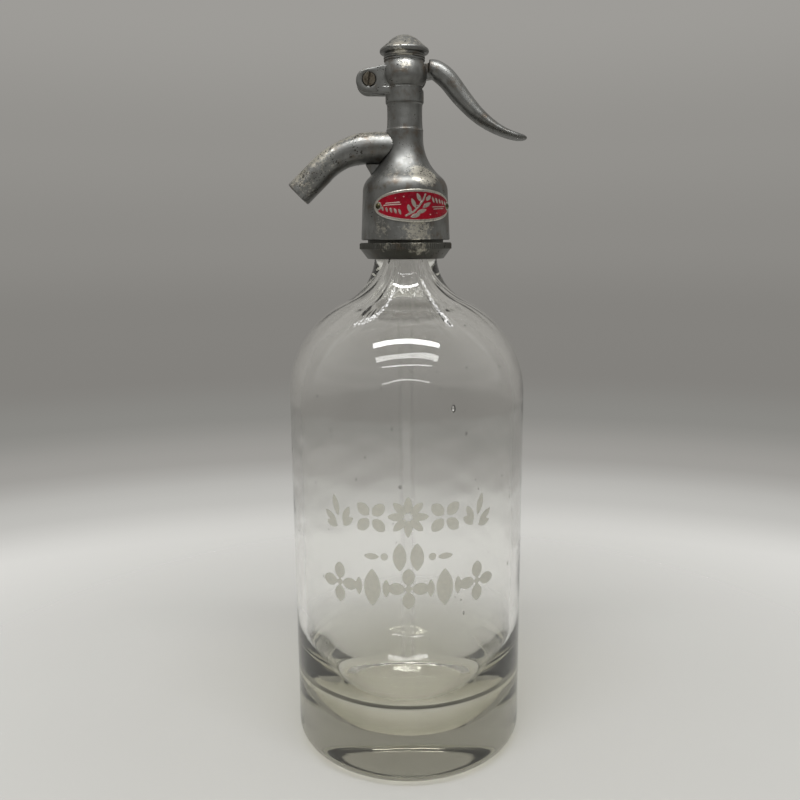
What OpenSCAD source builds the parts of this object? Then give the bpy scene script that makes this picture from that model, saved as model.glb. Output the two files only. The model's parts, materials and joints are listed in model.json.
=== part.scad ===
// Soda siphon: a one-litre glass bottle with a cast lever head.
// Millimetres. +Z is up, and the origin is the middle of the foot that the bottle stands on.
// The spout points along -X, the lever along +X, and the name plate faces -Y.

/* [Glass bottle] */
// Outer diameter of the body
body_d = 100; // [92:1:108]
// Height at which the shoulder starts to curve in
shoulder_z = 155; // [140:1:170]
// Outer radius of the shoulder's curve
shoulder_r = 43.8; // [42:0.1:45]
// Outer diameter of the straight neck
neck_d = 25.8; // [25:0.1:26.4]
// Radius of the curve from the shoulder into the neck
neck_curve_r = 21.7; // [20:0.1:24]
// Thickness of the body's wall
glass_wall = 4.2; // [3.5:0.1:5]
// Thickness of the solid glass floor
floor_t = 14; // [11:0.5:17]
// How far the inside corner reaches in along the floor
corner_w = 13; // [10:0.5:16]
// How far the inside corner reaches up the wall
corner_h = 30; // [22:1:36]
// Radius of the outside heel
heel_r = 5.5; // [4:0.5:7]
// Radius of the hollow under the floor
hollow_r = 30; // [24:1:36]
// Height of the hollow under the floor
hollow_h = 1.6; // [1:0.1:2.5]
// Diameter of the bore through the neck
neck_bore_d = 11.6; // [11:0.1:12.4]
// Radius of the shoulder's inner curve
inner_shoulder_r = 38.5; // [36:0.5:40]
// Radius of the inner curve into the neck's bore
inner_curve_r = 14; // [11:0.5:17]
// Depth of the groove under the lip
groove_depth = 0.9; // [0.6:0.1:1.4]
// How far the lip's bead stands out past the neck
bead_out = 1; // [0.8:0.1:1.2]
// Height of the lip's bead
bead_h = 6.4; // [5:0.2:8]

/* [Neck ring] */
// How far the ring's underside lies below the end of the neck's curve
ring_drop = 1.9; // [1.5:0.1:2.4]
// How far the knurled rim stands out past the skirt's foot
ring_reach = 0.75; // [0.4:0.05:1.1]
// Width of the ring's flat underside
ring_foot_w = 1.8; // [1.4:0.1:2.2]
// Height of the sloping underside
ring_slope_h = 4; // [3:0.1:5]
// Height of the knurled rim
ring_rim_h = 2.55; // [2:0.05:3]
// Number of knurl ridges
knurl_count = 120; // [80:4:160]
// Depth of the knurl
knurl_depth = 0.25; // [0.15:0.05:0.4]
// Thickness of the lip inside the ring that lifts the collar
ring_lip_t = 0.8; // [0.6:0.1:1]
// Room between the threaded sleeve and the seat in the head
sleeve_room = 1.8; // [1:0.1:2.4]
// Thickness of the sleeve under its thread
sleeve_wall = 1.25; // [1:0.05:1.6]
// Depth of the sleeve's thread
thread_depth = 0.6; // [0.4:0.1:0.7]
// Pitch of the sleeve's thread
thread_pitch = 1.5; // [1.2:0.1:2]
// Height of the two collar halves
collar_h = 4; // [3.4:0.1:4.6]
// How far the two collar halves reach over the ring's lip
collar_reach = 0.7; // [0.5:0.05:1]
// Gap between the two collar halves
collar_gap = 0.6; // [0.4:0.1:1.2]

/* [Seals and dip tube] */
// Thickness of the gasket on the glass lip
lip_gasket_t = 2.4; // [1.6:0.1:3]
// Thickness of the ferrule's flange
ferrule_t = 2; // [1.5:0.1:2.6]
// How far the ferrule's flange stays inside the lip's bead
ferrule_inset = 0.6; // [0.2:0.1:1.4]
// Length of the ferrule's spigot in the neck
spigot_h = 13; // [10:0.5:16]
// Wall of the ferrule's spigot
spigot_wall = 0.8; // [0.6:0.1:1]
// Thickness of the gasket under the head
head_gasket_t = 1.2; // [0.8:0.1:1.6]
// Outer diameter of the dip tube
tube_d = 7; // [6:0.1:7.4]
// Wall of the dip tube
tube_wall = 1; // [0.8:0.1:1.3]
// Gap between the dip tube and the glass floor
tube_foot_gap = 8; // [5:0.5:12]

/* [Head casting] */
// Gap between the ring and the skirt
skirt_gap = 1; // [0.8:0.05:1.3]
// Thickness of the skirt at its foot
skirt_wall = 1.7; // [1.4:0.1:2.2]
// How much narrower the skirt is at its top
skirt_taper = 1.8; // [1:0.1:2.2]
// Height of the skirt
skirt_h = 19.55; // [18:0.05:21]
// Radius of the head's shoulder
dome_r = 7.5; // [6.5:0.1:8.5]
// Radius of the sweep from the shoulder to the column
sweep_r = 20; // [17:0.5:23]
// Diameter of the column
column_d = 14.9; // [14.5:0.1:15.6]
// How far the column's waist draws in
waist_in = 0.35; // [0.2:0.05:0.6]
// How far the band under the bulb stands out past the column
band_out = 0.3; // [0.2:0.05:0.6]
// Height of the band under the bulb
band_h = 6.4; // [5.6:0.1:7.2]
// Height of the bulb
bulb_h = 11; // [10.4:0.1:11.6]
// How far the bulb swells out past the collar over it
bulb_swell = 1.15; // [0.9:0.05:1.4]
// Height of the collar over the bulb
bulb_collar_h = 1; // [0.8:0.05:1.3]
// Depth of the groove between the bulb and its collar
bulb_groove = 0.35; // [0.2:0.05:0.45]
// Thickness of the bulb's wall at its top
bulb_wall = 1.4; // [1.1:0.1:1.8]
// Diameter of the valve chamber
chamber_d = 17; // [15:0.5:19]
// Room under the closed valve
valve_room = 3.15; // [2.6:0.05:4]
// Diameter of the water passage
passage_d = 6.8; // [6.2:0.1:7]
// Diameter of the bore that holds the packing and the spring
pocket_d = 9.2; // [9:0.1:9.6]
// Diameter of the lever chamber and of the cap's thread
lever_bore_d = 13.8; // [13.4:0.1:14.2]
// Radius of the pivot ear
ear_r = 4.7; // [4.5:0.05:5.2]
// Thickness of each cheek of the ear
cheek_t = 2.6; // [2.2:0.1:3.2]

/* [Spout] */
// Height of the spout's root above the skirt's foot
spout_rise = 37.05; // [36.4:0.05:37.8]
// Outer diameter at the root
spout_root_d = 12.6; // [12:0.1:13]
// Outer diameter at the tip
spout_tip_d = 11.3; // [10.4:0.1:12]
// Radius of the bend
bend_r = 30.2; // [27:0.2:34]
// Angle of the bend
bend_angle = 44; // [38:1:48]
// Length of the straight tip
tip_l = 14.2; // [11:0.1:17]
// Where the bend starts, measured from the axis
bend_x = 13; // [12:0.1:14]
// Wall of the tenon soldered into the column
tenon_wall = 1.1; // [0.8:0.1:1.3]

/* [Valve] */
// Diameter of the valve stem
stem_d = 3.5; // [3.2:0.1:3.8]
// Diameter of the pressed-in valve seat
seat_d = 12; // [11.4:0.2:13]
// Height of the pressed-in valve seat
seat_h = 4; // [3.4:0.1:4.6]
// How far the rubber valve washer reaches past the seat's rim
washer_reach = 0.9; // [0.6:0.1:1.4]
// Thickness of the rubber valve washer
washer_t = 2.6; // [2:0.1:3]
// Thickness of the brass backing plate
plate_t = 1.5; // [1:0.1:1.8]
// Thickness of the valve nut
valve_nut_t = 2.2; // [1.8:0.1:2.4]
// Thickness of the packing washer
packing_washer_t = 0.8; // [0.6:0.1:1]
// Thickness of the rubber stem packing
packing_t = 3; // [2.4:0.1:3.4]
// Thickness of the gland nut
gland_t = 2.8; // [2.4:0.1:3.2]
// Room round the stem's button in its bore
button_play = 0.7; // [0.5:0.1:1]
// Thickness of the stem's button
button_t = 2.6; // [2.2:0.1:3]
// Wire of the return spring
spring_wire = 0.9; // [0.7:0.05:1]
// Room round the return spring in its bore
spring_play = 0.5; // [0.3:0.1:0.8]
// Height left for the return spring over the gland nut
spring_room = 9; // [8:0.5:10]
// Turns of the return spring
spring_turns = 5.5; // [4.5:0.5:6]

/* [Lever, screw and cap] */
// Distance from the valve's axis to the lever's pivot
pivot_x = 14.1; // [13.6:0.1:15]
// Depth of the pivot below the bulb's top
pivot_drop = 8.4; // [8.2:0.1:8.6]
// Thickness of the lever's tongue
tongue_t = 4.6; // [4:0.1:5]
// Radius of the nose that presses the button
nose_r = 2.2; // [2:0.1:2.4]
// Diameter of the pivot screw's shank
screw_d = 3.6; // [3:0.1:4]
// Diameter of the pivot screw's head
screw_head_d = 5; // [4.6:0.1:5.6]
// Reach of the lever past the bulb
lever_l = 40.15; // [36:0.05:46]
// How far the lever's tip lies below the bulb's top
lever_drop = 30.95; // [28:0.05:34]
// Width of the lever's thumb piece
thumb_w = 11.6; // [10:0.1:13]
// How far the cap's rim stands out past the bulb's collar
cap_reach = 1.6; // [1.2:0.1:2.2]
// Height of the cap above its washer
cap_h = 8.4; // [7.8:0.1:9]
// Height of the neck under the cap's rim
cap_neck_h = 1; // [0.8:0.1:1.4]
// Thickness of the cap's rim
cap_rim_t = 2.4; // [2:0.1:2.8]
// How far the cap's dome stays inside its rim
cap_dome_inset = 3.7; // [3:0.1:4.4]
// Height of the cap's dome
cap_dome_h = 2.6; // [2.2:0.1:3]
// Thickness of the washer under the cap
cap_washer_t = 0.6; // [0.4:0.1:0.8]

/* [Name plate] */
// Length of the plate, measured round the skirt
badge_l = 37; // [32:1:40]
// Height of the plate
badge_h = 13; // [11:0.5:14]
// Thickness of the plate
badge_t = 0.5; // [0.4:0.1:0.8]
// Height of the plate's middle above the skirt's foot
badge_rise = 13.35; // [12.4:0.05:13.9]
// How far the plate is turned towards the lever, in degrees
badge_turn = 15; // [0:1:25]

/* [Hidden] */
$fn = 96;

glass_colour = [0.78, 0.82, 0.76, 0.35];
alloy_colour = [0.47, 0.47, 0.45];
dark_alloy_colour = [0.3, 0.3, 0.28];
brass_colour = [0.62, 0.5, 0.3];
steel_colour = [0.55, 0.54, 0.5];
rubber_colour = [0.12, 0.12, 0.12];
badge_colour = [0.6, 0.03, 0.07];

// Clearances: between fixed pieces, between a shaft and its bore, and round a swinging piece.
fixed_gap = 0.05;
running_gap = 0.07;
swing_gap = 0.3;
over = 1;                   // how far a cut runs past the face that it opens

// Bottle, from the foot up.
body_r = body_d / 2;
neck_r = neck_d / 2;
inner_r = body_r - glass_wall;
shoulder_c = [body_r - shoulder_r, shoulder_z];
neck_curve_x = neck_r + neck_curve_r;
neck_z = shoulder_z + sqrt(pow(shoulder_r + neck_curve_r, 2) - pow(neck_curve_x - shoulder_c[0], 2));
shoulder_a = atan2(neck_z - shoulder_z, neck_curve_x - shoulder_c[0]);
bore_r = neck_bore_d / 2;
inner_shoulder_c = [inner_r - inner_shoulder_r, shoulder_z - glass_wall];
inner_curve_x = bore_r + inner_curve_r;
inner_neck_z = inner_shoulder_c[1] + sqrt(pow(inner_shoulder_r + inner_curve_r, 2)
                                          - pow(inner_curve_x - inner_shoulder_c[0], 2));
inner_shoulder_a = atan2(inner_neck_z - inner_shoulder_c[1], inner_curve_x - inner_shoulder_c[0]);
bead_round = 1.4;
groove_d = neck_d - 2 * groove_depth;
bead_d = neck_d + 2 * bead_out;

// Ring, collar and lip, stacked from the ring's underside.
ring_z = neck_z - ring_drop;
collar_z = ring_z + ring_lip_t;
bead_z = collar_z + collar_h + 2 * fixed_gap;
lip_z = bead_z + bead_h;
rim_z = ring_z + ring_slope_h;
ring_top = rim_z + ring_rim_h;
thread_start = ring_top + skirt_gap + 0.6;      // below it lies a plain relief
lip_bore_d = bead_d + 4 * fixed_gap;            // the ring slips down over the bead
ring_foot_d = lip_bore_d + 2 * ring_foot_w;
collar_d = lip_bore_d + 2 * collar_reach;
sleeve_bore_d = collar_d + 2 * fixed_gap;
thread_root_d = sleeve_bore_d + 2 * sleeve_wall;
thread_d = thread_root_d + 2 * thread_depth;
relief_d = thread_root_d - sleeve_wall / 2;

// Seals and dip tube.
ferrule_z = lip_z + lip_gasket_t;
ferrule_top = ferrule_z + ferrule_t;
ferrule_d = bead_d - 2 * ferrule_inset;
spigot_d = neck_bore_d - 4 * fixed_gap;
grommet_d = spigot_d - 2 * spigot_wall;
ferrule_stop_t = 1.2;                           // lip at the top of the ferrule that the tube meets
ferrule_stop_d = tube_d - 2 * tube_wall;
tube_top = ferrule_top - ferrule_stop_t;
tube_foot = floor_t + tube_foot_gap;
head_seat_z = ferrule_top + head_gasket_t;
sleeve_top = head_seat_z - sleeve_room;

// Head casting.
skirt_z = ring_top + skirt_gap;
skirt_bore_d = thread_d + 4 * fixed_gap;
skirt_d = skirt_bore_d + 2 * skirt_wall;
skirt_top_d = skirt_d - skirt_taper;
ring_d = skirt_d + 2 * ring_reach;
waist_d = column_d - 2 * waist_in;
band_d = column_d + 2 * band_out;
bulb_top_d = lever_bore_d + 2 * bulb_wall;
bulb_d = bulb_top_d + 2 * bulb_swell;
skirt_top = skirt_z + skirt_h;
dome_c = [skirt_top_d / 2 - dome_r, skirt_top];
sweep_x = column_d / 2 + sweep_r;
sweep_z = skirt_top + sqrt(pow(dome_r + sweep_r, 2) - pow(sweep_x - dome_c[0], 2));
sweep_a = atan2(sweep_z - skirt_top, sweep_x - dome_c[0]);
ridge_z = sweep_z + 3.1;                        // fine raised line round the column
ridge_out = 0.15;
seat_out = 1;                                   // how far the seat stands out into the chamber
stem_out = 0.5;                                 // how far the stem stands out of the valve nut
chamber_h = seat_out + washer_t + plate_t + valve_nut_t + stem_out + valve_room + fixed_gap;
chamber_top = head_seat_z + chamber_h;
spout_z = skirt_z + spout_rise;

// Column, stacked from the spout's root up: packing, gland nut, spring, button, lever and bulb.
packing_z = spout_z + spout_root_d / 2 - 0.9;
packing_ring_z = packing_z + packing_washer_t;
gland_z = packing_ring_z + packing_t;
gland_top = gland_z + gland_t;
button_z = gland_top + spring_room + fixed_gap / 2;
button_top = button_z + button_t;
pivot_z = button_top + nose_r + fixed_gap / 2;
bulb_top = pivot_z + pivot_drop;
bulb_z = bulb_top - bulb_h;
bulb_mid = bulb_z + 4.2;                        // where the bulb is widest
band_z = bulb_z - band_h;
lever_floor = bulb_z + 0.5;                     // floor of the lever chamber
slot_w = tongue_t + 2 * swing_gap;
slot_top = bulb_top - 1.4;
cheek_y = slot_w / 2 + cheek_t;
press_angle = 9;                                // full stroke of the lever, in degrees

// Valve, stacked from the seat down.
seat_z = chamber_top - seat_out;
seat_rim_d = passage_d + 2.4;
washer_d = seat_rim_d + 2 * washer_reach;
washer_z = seat_z - washer_t - fixed_gap / 2;
plate_z = washer_z - plate_t;
valve_nut_z = plate_z - valve_nut_t;
stem_foot = valve_nut_z - stem_out;
plate_d = washer_d + 1;
valve_nut_d = 7.4;
stem_bore_d = stem_d + 2 * running_gap;
plug_d = pocket_d - 2 * fixed_gap;              // what fills the packing bore
button_d = pocket_d - 2 * button_play;
spring_d = pocket_d - 2 * spring_play;

// Spring.
spring_r = (spring_d - spring_wire) / 2;
spring_foot = gland_top + spring_wire / 2 + fixed_gap;
spring_head = button_z - spring_wire / 2 - fixed_gap;
spring_sides = 6;
spring_steps = 20;                              // rings in each turn

// Screw, lever and cap.
ear_c = [-pivot_x - 0.6, pivot_z - 0.45];
eye_r = ear_r - 0.9;
screw_head_t = 1.3;
screw_sink = 1;                                 // depth of the pocket for the screw's head
screw_thread_d = screw_d - 0.8;
screw_slot_w = 0.7;
screw_slot_turn = 8;
cap_d = bulb_top_d + 2 * cap_reach;
cap_z = bulb_top + cap_washer_t;
cap_rim_z = cap_z + cap_neck_h;
cap_plug_l = 2.7;                               // how far the cap's plug reaches into the bulb
cap_plug_d = lever_bore_d - 4 * fixed_gap;
cap_plug_wall = 1.2;
cap_dome_x = cap_d / 2 - cap_dome_inset;

// Lever's sweep from the root to the tip: [share of its reach, share of its drop, half its depth,
// half its width].
lever_top = 3.6;                                // depth of the root's axis below the bulb's top
lever_x = bulb_d / 2 + running_gap;
lever_sweep = [[0.00448, 0, 3.4, 3.2], [0.03409, 0.00548, 3.6, 3.6], [0.07115, 0.02377, 3.9, 4.2],
               [0.14526, 0.09324, 4.1, 4.5], [0.21937, 0.19744, 4.05, 4.6], [0.31818, 0.38026, 3.85, 4.7],
               [0.4664, 0.61792, 3.25, 4.9], [0.61462, 0.78976, 2.55, 5.3], [0.76285, 0.90859, 1.9, 5.8],
               [0.88636, 0.97075, 1.6, 5.7], [0.96542, 0.99269, 1.15, 4.4], [1, 1, 0.5, 2]];
lever_stations = [for (s = lever_sweep) [lever_x + s[0] * (lever_l - running_gap),
    lever_top + s[1] * (lever_drop - lever_top), s[2], s[3] * thumb_w / 11.6]];
lever_sides = 20;
lever_rings = 2;                                // rings from one station to the next
tongue_root = [bulb_d / 2 + 1.45, bulb_top - 4.8];
tongue_root_r = 3;
tongue_mid = [0, pivot_z + 2];
tongue_mid_r = 2.8;

// The slot leaves room under the tongue at full stroke: by the ear, in the column and at the lever's side.
slot_floor = pivot_z - eye_r - 0.6;
slot_exit = tongue_root[1] - tongue_root_r - (pivot_x + tongue_root[0]) * sin(press_angle) - 0.5;

// Spout.
spout_rings = 12;
spout_sides = 28;
skin_inset = 0.06;                              // keeps the bend's skin off the root's and the tip's
skin_overlap = 0.6;                             // how far past the bend the root and the tip start
spout_even_a = 8;                               // the root keeps its diameter over the web
spout_slim_a = 26;                              // from here on the spout has its tip's diameter
spout_c = [-bend_x, spout_z - bend_r];
tenon_x = passage_d / 2 + 1.5;
reamed_d = passage_d + 0.2;                     // the bore's straight ends are reamed
tenon_d = reamed_d + 2 * tenon_wall;
web_t = 3;
web_x = bend_x + 0.2;                           // how far the web reaches at its foot
web_z = spout_z - spout_root_d / 2;             // underside of the spout, which the web hangs from

// Name plate.
badge_z = skirt_z + badge_rise;
badge_r = skirt_top_d / 2 + (skirt_d - skirt_top_d) / 2 * (1 - badge_rise / skirt_h);
badge_margin = 2.4;                             // from the plate's tip to its rivet
rivet_a = (badge_l / 2 - badge_margin) / badge_r * 180 / PI;
rivet_d = 1.5;
rivet_head_d = 2.4;
rivet_l = 1.6;

// Points along an arc from angle a0 to a1 in n steps, round or with two radii.
function arc(c, r, a0, a1, n) =
    [for (i = [0:n]) let (a = a0 + (a1 - a0) * i / n) c + r * [cos(a), sin(a)]];
function oval_arc(c, rx, rz, a0, a1, n) =
    [for (i = [0:n]) let (a = a0 + (a1 - a0) * i / n) c + [rx * cos(a), rz * sin(a)]];

// A smooth value between b and c, where t runs from 0 to 1 and a and d are the values beyond them.
function blend(a, b, c, d, t) =
    b + t * (c - a) / 2 + t * t * (a - 2.5 * b + 2 * c - d / 2)
    + t * t * t * (1.5 * (b - c) + (d - a) / 2);
function station(list, i) = list[max(0, min(len(list) - 1, i))];
function smooth(list, steps) =
    [for (i = [0:len(list) - 2], k = [0:steps - 1])
        blend(station(list, i - 1), list[i], list[i + 1], station(list, i + 2), k / steps),
     list[len(list) - 1]];

// A closed skin over rings of points that all have the same count.
module skin(rings) {
    n = len(rings[0]);
    last = (len(rings) - 1) * n;
    sides = [for (i = [0:len(rings) - 2], j = [0:n - 1])
        let (a = i * n + j, b = i * n + (j + 1) % n)
        each [[a, b, b + n], [a, b + n, a + n]]];
    caps = [[for (j = [n - 1:-1:0]) j], [for (j = [0:n - 1]) last + j]];
    polyhedron([for (ring = rings) each ring], concat(sides, caps), convexity = 6);
}

module ring_solid(outer_d, inner_d, z, h) {
    translate([0, 0, z])
        difference() {
            cylinder(d = outer_d, h = h);
            translate([0, 0, -over]) cylinder(d = inner_d, h = h + 2 * over);
        }
}

// A cylinder that lies along Y, centred on a point of the XZ plane.
module cross_cylinder(at, d, y0, y1) {
    translate([at[0], y0, at[1]]) rotate([-90, 0, 0]) cylinder(d = d, h = y1 - y0);
}

// A flat shape drawn in XZ and given a thickness along Y.
module cross_plate(t) {
    rotate([90, 0, 0]) linear_extrude(height = t, center = true) children();
}

// Glass bottle ----------------------------------------------------------------------------------

function bottle_outside() = let (hollow_arc_r = (pow(hollow_r, 2) + pow(hollow_h, 2)) / (2 * hollow_h))
    concat(
        arc([0, hollow_h - hollow_arc_r], hollow_arc_r, 90, 90 - asin(hollow_r / hollow_arc_r), 4),
        arc([body_r - heel_r, heel_r], heel_r, -90, 0, 8),
        arc(shoulder_c, shoulder_r, 0, shoulder_a, 24),
        arc([neck_curve_x, neck_z], neck_curve_r, 180 + shoulder_a, 180 + 5, 12),
        [[neck_r, collar_z - 2 * fixed_gap], [groove_d / 2, collar_z - 2 * fixed_gap],
         [groove_d / 2, bead_z]]);

function bottle_lip() = concat(
    arc([bead_d / 2 - bead_round, bead_z + bead_round], bead_round, -60, 0, 4),
    arc([bead_d / 2 - bead_round, lip_z - bead_round], bead_round, 0, 90, 5),
    arc([bore_r + bead_round, lip_z - bead_round], bead_round, 90, 180, 5));

function bottle_inside() = concat(
    arc([inner_curve_x, inner_neck_z], inner_curve_r, 180, 180 + inner_shoulder_a, 12),
    arc(inner_shoulder_c, inner_shoulder_r, inner_shoulder_a, 0, 20),
    oval_arc([inner_r - corner_w, floor_t + corner_h], corner_w, corner_h, 0, -90, 14),
    [[0, floor_t]]);

module glass_bottle() {
    color(glass_colour)
        rotate_extrude() polygon(concat(bottle_outside(), bottle_lip(), bottle_inside()));
}

// Neck ring and its split collar ------------------------------------------------------------------

function thread_teeth() = [for (z = [thread_start:thread_pitch:sleeve_top - thread_pitch])
    each [[thread_d / 2 - thread_depth, z], [thread_d / 2, z + thread_pitch * 0.4],
          [thread_d / 2, z + thread_pitch * 0.6]]];

module knurl_outline() {
    polygon([for (i = [0:2 * knurl_count - 1])
        let (r = ring_d / 2 - (i % 2) * knurl_depth, a = i * 180 / knurl_count) r * [cos(a), sin(a)]]);
}

module neck_ring() {
    core_r = ring_d / 2 - knurl_depth - fixed_gap;
    edge = 0.35;
    color(dark_alloy_colour) {
        rotate_extrude() polygon(concat(
            [[lip_bore_d / 2, ring_z], [ring_foot_d / 2, ring_z], [core_r, rim_z],
             [core_r, ring_top], [relief_d / 2, ring_top], [relief_d / 2, thread_start]],
            thread_teeth(),
            [[thread_d / 2 - thread_depth, sleeve_top], [sleeve_bore_d / 2, sleeve_top],
             [sleeve_bore_d / 2, collar_z], [lip_bore_d / 2, collar_z]]));
        translate([0, 0, rim_z]) linear_extrude(height = ring_rim_h - edge)
            difference() {
                knurl_outline();
                circle(r = core_r - 1);
            }
    }
}

module collar_half(side) {
    color(steel_colour)
        intersection() {
            ring_solid(collar_d, groove_d + 2 * fixed_gap, collar_z, collar_h);
            translate([-collar_d, side > 0 ? collar_gap / 2 : -collar_d, collar_z - over])
                cube([2 * collar_d, collar_d - collar_gap / 2, collar_h + 2 * over]);
        }
}

module collar_half_front() { collar_half(-1); }

module collar_half_back() { collar_half(1); }

// Seals, ferrule and dip tube ---------------------------------------------------------------------

module lip_gasket() {
    color(rubber_colour) ring_solid(ferrule_d, neck_bore_d + 1, lip_z, lip_gasket_t);
}

module tube_ferrule() {
    color(brass_colour)
        difference() {
            union() {
                translate([0, 0, ferrule_z]) cylinder(d = ferrule_d, h = ferrule_t);
                translate([0, 0, ferrule_top - spigot_h]) cylinder(d = spigot_d, h = spigot_h);
            }
            translate([0, 0, ferrule_top - spigot_h - over])
                cylinder(d = grommet_d, h = spigot_h - ferrule_stop_t + over);
            translate([0, 0, ferrule_z]) cylinder(d = ferrule_stop_d, h = ferrule_t + over);
        }
}

module tube_grommet() {
    color(rubber_colour)
        ring_solid(grommet_d, tube_d, ferrule_top - spigot_h, spigot_h - ferrule_stop_t);
}

module dip_tube() {
    cut_angle = 30;
    color(glass_colour)
        difference() {
            ring_solid(tube_d, tube_d - 2 * tube_wall, tube_foot, tube_top - tube_foot);
            translate([-tube_d / 2, 0, tube_foot]) rotate([0, cut_angle, 0])
                translate([-tube_d, -tube_d, -2 * tube_d]) cube([3 * tube_d, 2 * tube_d, 2 * tube_d]);
        }
}

module head_gasket() {
    color(rubber_colour) ring_solid(ferrule_d, chamber_d, ferrule_top, head_gasket_t);
}

// Head casting ------------------------------------------------------------------------------------

// The bulb's lower and upper curves, and the groove and the collar over them.
function bulb_outline() = let (r = bulb_d / 2,
    low = bulb_mid - bulb_z,
    low_draw = r - band_d / 2,
    low_r = (pow(low, 2) + pow(low_draw, 2)) / (2 * low_draw),
    collar_foot = bulb_top - bulb_collar_h,
    high = collar_foot - bulb_groove - bulb_mid,
    draw = r - bulb_top_d / 2 + bulb_groove,
    high_r = (pow(high, 2) + pow(draw, 2)) / (2 * draw))
    concat(
        [for (i = [0:5]) let (z = -low * (1 - i / 5))
            [r - low_r + sqrt(pow(low_r, 2) - z * z), bulb_mid + z]],
        [for (i = [1:6]) let (z = high * i / 6)
            [r - high_r + sqrt(pow(high_r, 2) - z * z), bulb_mid + z]],
        [[bulb_top_d / 2, collar_foot], [bulb_top_d / 2, bulb_top]]);

module head_outside() {
    rotate_extrude() polygon(concat(
        [[0, skirt_z], [skirt_d / 2, skirt_z]],
        arc(dome_c, dome_r, 0, sweep_a, 10),
        arc([sweep_x, sweep_z], sweep_r, 180 + sweep_a, 180, 12),
        [[column_d / 2, ridge_z - 0.4], [column_d / 2 + ridge_out, ridge_z],
         [column_d / 2 - ridge_out, ridge_z + 0.3], [waist_d / 2, ridge_z + 4],
         [waist_d / 2, band_z - 2], [waist_d / 2 + ridge_out, band_z],
         [band_d / 2, band_z + 0.3], [band_d / 2, bulb_z]],
        bulb_outline(),
        [[0, bulb_top]]));
}

module ear_outline() {
    hull() {
        translate(ear_c) circle(r = ear_r);
        translate([-band_d / 2 + 1, ear_c[1] - ear_r]) square([1, 2 * ear_r + 1.3]);
    }
}

module spout_web() {
    cross_plate(web_t) polygon([[-column_d / 2, spout_z - 2], [-web_x - 3.4, spout_z - 2],
                                [-web_x - 3.4, web_z + 0.3], [-web_x, web_z - 5.7],
                                [-column_d / 2, web_z - 7.7]]);
}

// A bend of one diameter, from over the bend's centre down towards the tip.
module bend_cutter(d) {
    translate([spout_c[0], 0, spout_c[1]]) rotate([90, 0, 0])
        rotate([0, 0, 90]) rotate_extrude(angle = bend_angle) translate([bend_r, 0]) circle(d = d);
}

module head_bores() {
    translate([0, 0, skirt_z - over]) cylinder(d = skirt_bore_d, h = head_seat_z - skirt_z + over);
    translate([0, 0, head_seat_z - over]) cylinder(d = chamber_d, h = chamber_h + over);
    translate([0, 0, chamber_top - over]) cylinder(d = seat_d, h = seat_h - 1 + over);
    translate([0, 0, chamber_top]) cylinder(d = passage_d, h = packing_z - chamber_top + over);
    translate([0, 0, packing_z]) cylinder(d = pocket_d, h = lever_floor - packing_z + over);
    translate([0, 0, lever_floor]) cylinder(d = lever_bore_d, h = bulb_top - lever_floor + over);
    translate([0, 0, spout_z]) rotate([0, -90, 0]) cylinder(d = passage_d, h = tenon_x + over);
    translate([-tenon_x, 0, spout_z]) rotate([0, -90, 0]) cylinder(d = tenon_d, h = column_d);
}

module lever_slot(x0, x1, floor) {
    translate([x0, -slot_w / 2, floor]) cube([x1 - x0, slot_w, slot_top - floor]);
}

module head_body() {
    color(alloy_colour)
        difference() {
            union() {
                head_outside();
                difference() {
                    spout_web();
                    bend_cutter(spout_root_d);
                    translate([-bend_x, 0, spout_z]) rotate([0, 90, 0])
                        cylinder(d = spout_root_d, h = bend_x);
                }
                cross_plate(2 * cheek_y) ear_outline();
            }
            head_bores();
            lever_slot(-pivot_x - 2 * ear_r, -band_d / 2 - swing_gap, ear_c[1] - ear_r - over);
            lever_slot(-band_d / 2 - over, lever_bore_d / 2, slot_floor);
            lever_slot(0, bulb_d, slot_exit);
            cross_cylinder([-pivot_x, pivot_z], screw_d + 2 * fixed_gap, -cheek_y - over, 0);
            cross_cylinder([-pivot_x, pivot_z], screw_head_d + 4 * fixed_gap,
                           -cheek_y - over, -cheek_y + screw_sink);
            cross_cylinder([-pivot_x, pivot_z], screw_thread_d, 0, cheek_y + over);
            rivet_places() cylinder(d = rivet_d, h = rivet_l);
        }
}

// Spout -------------------------------------------------------------------------------------------

function spout_radius(a) = let (t = max(0, min(1, (a - spout_even_a) / (spout_slim_a - spout_even_a))))
    (spout_tip_d + (spout_root_d - spout_tip_d) * (1 + cos(180 * t)) / 2) / 2;

// One ring of the bend. Before and after the bend it runs straight into the root and the tip.
function spout_ring(a) = let (turn = max(0, min(bend_angle, a)),
    ahead = (a - turn) * PI / 180 * bend_r,
    r = spout_radius(turn) - skin_inset)
    [for (j = [0:spout_sides - 1]) let (b = -j * 360 / spout_sides, out = bend_r + r * cos(b))
        [spout_c[0] - out * sin(turn) - ahead * cos(turn), r * sin(b),
         spout_c[1] + out * cos(turn) - ahead * sin(turn)]];

// Places its children at the end of the bend, with +Z along the way the water leaves.
module at_bend_end() {
    translate([spout_c[0], 0, spout_c[1]]) rotate([0, -bend_angle, 0]) translate([0, 0, bend_r])
        rotate([0, -90, 0]) children();
}

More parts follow.
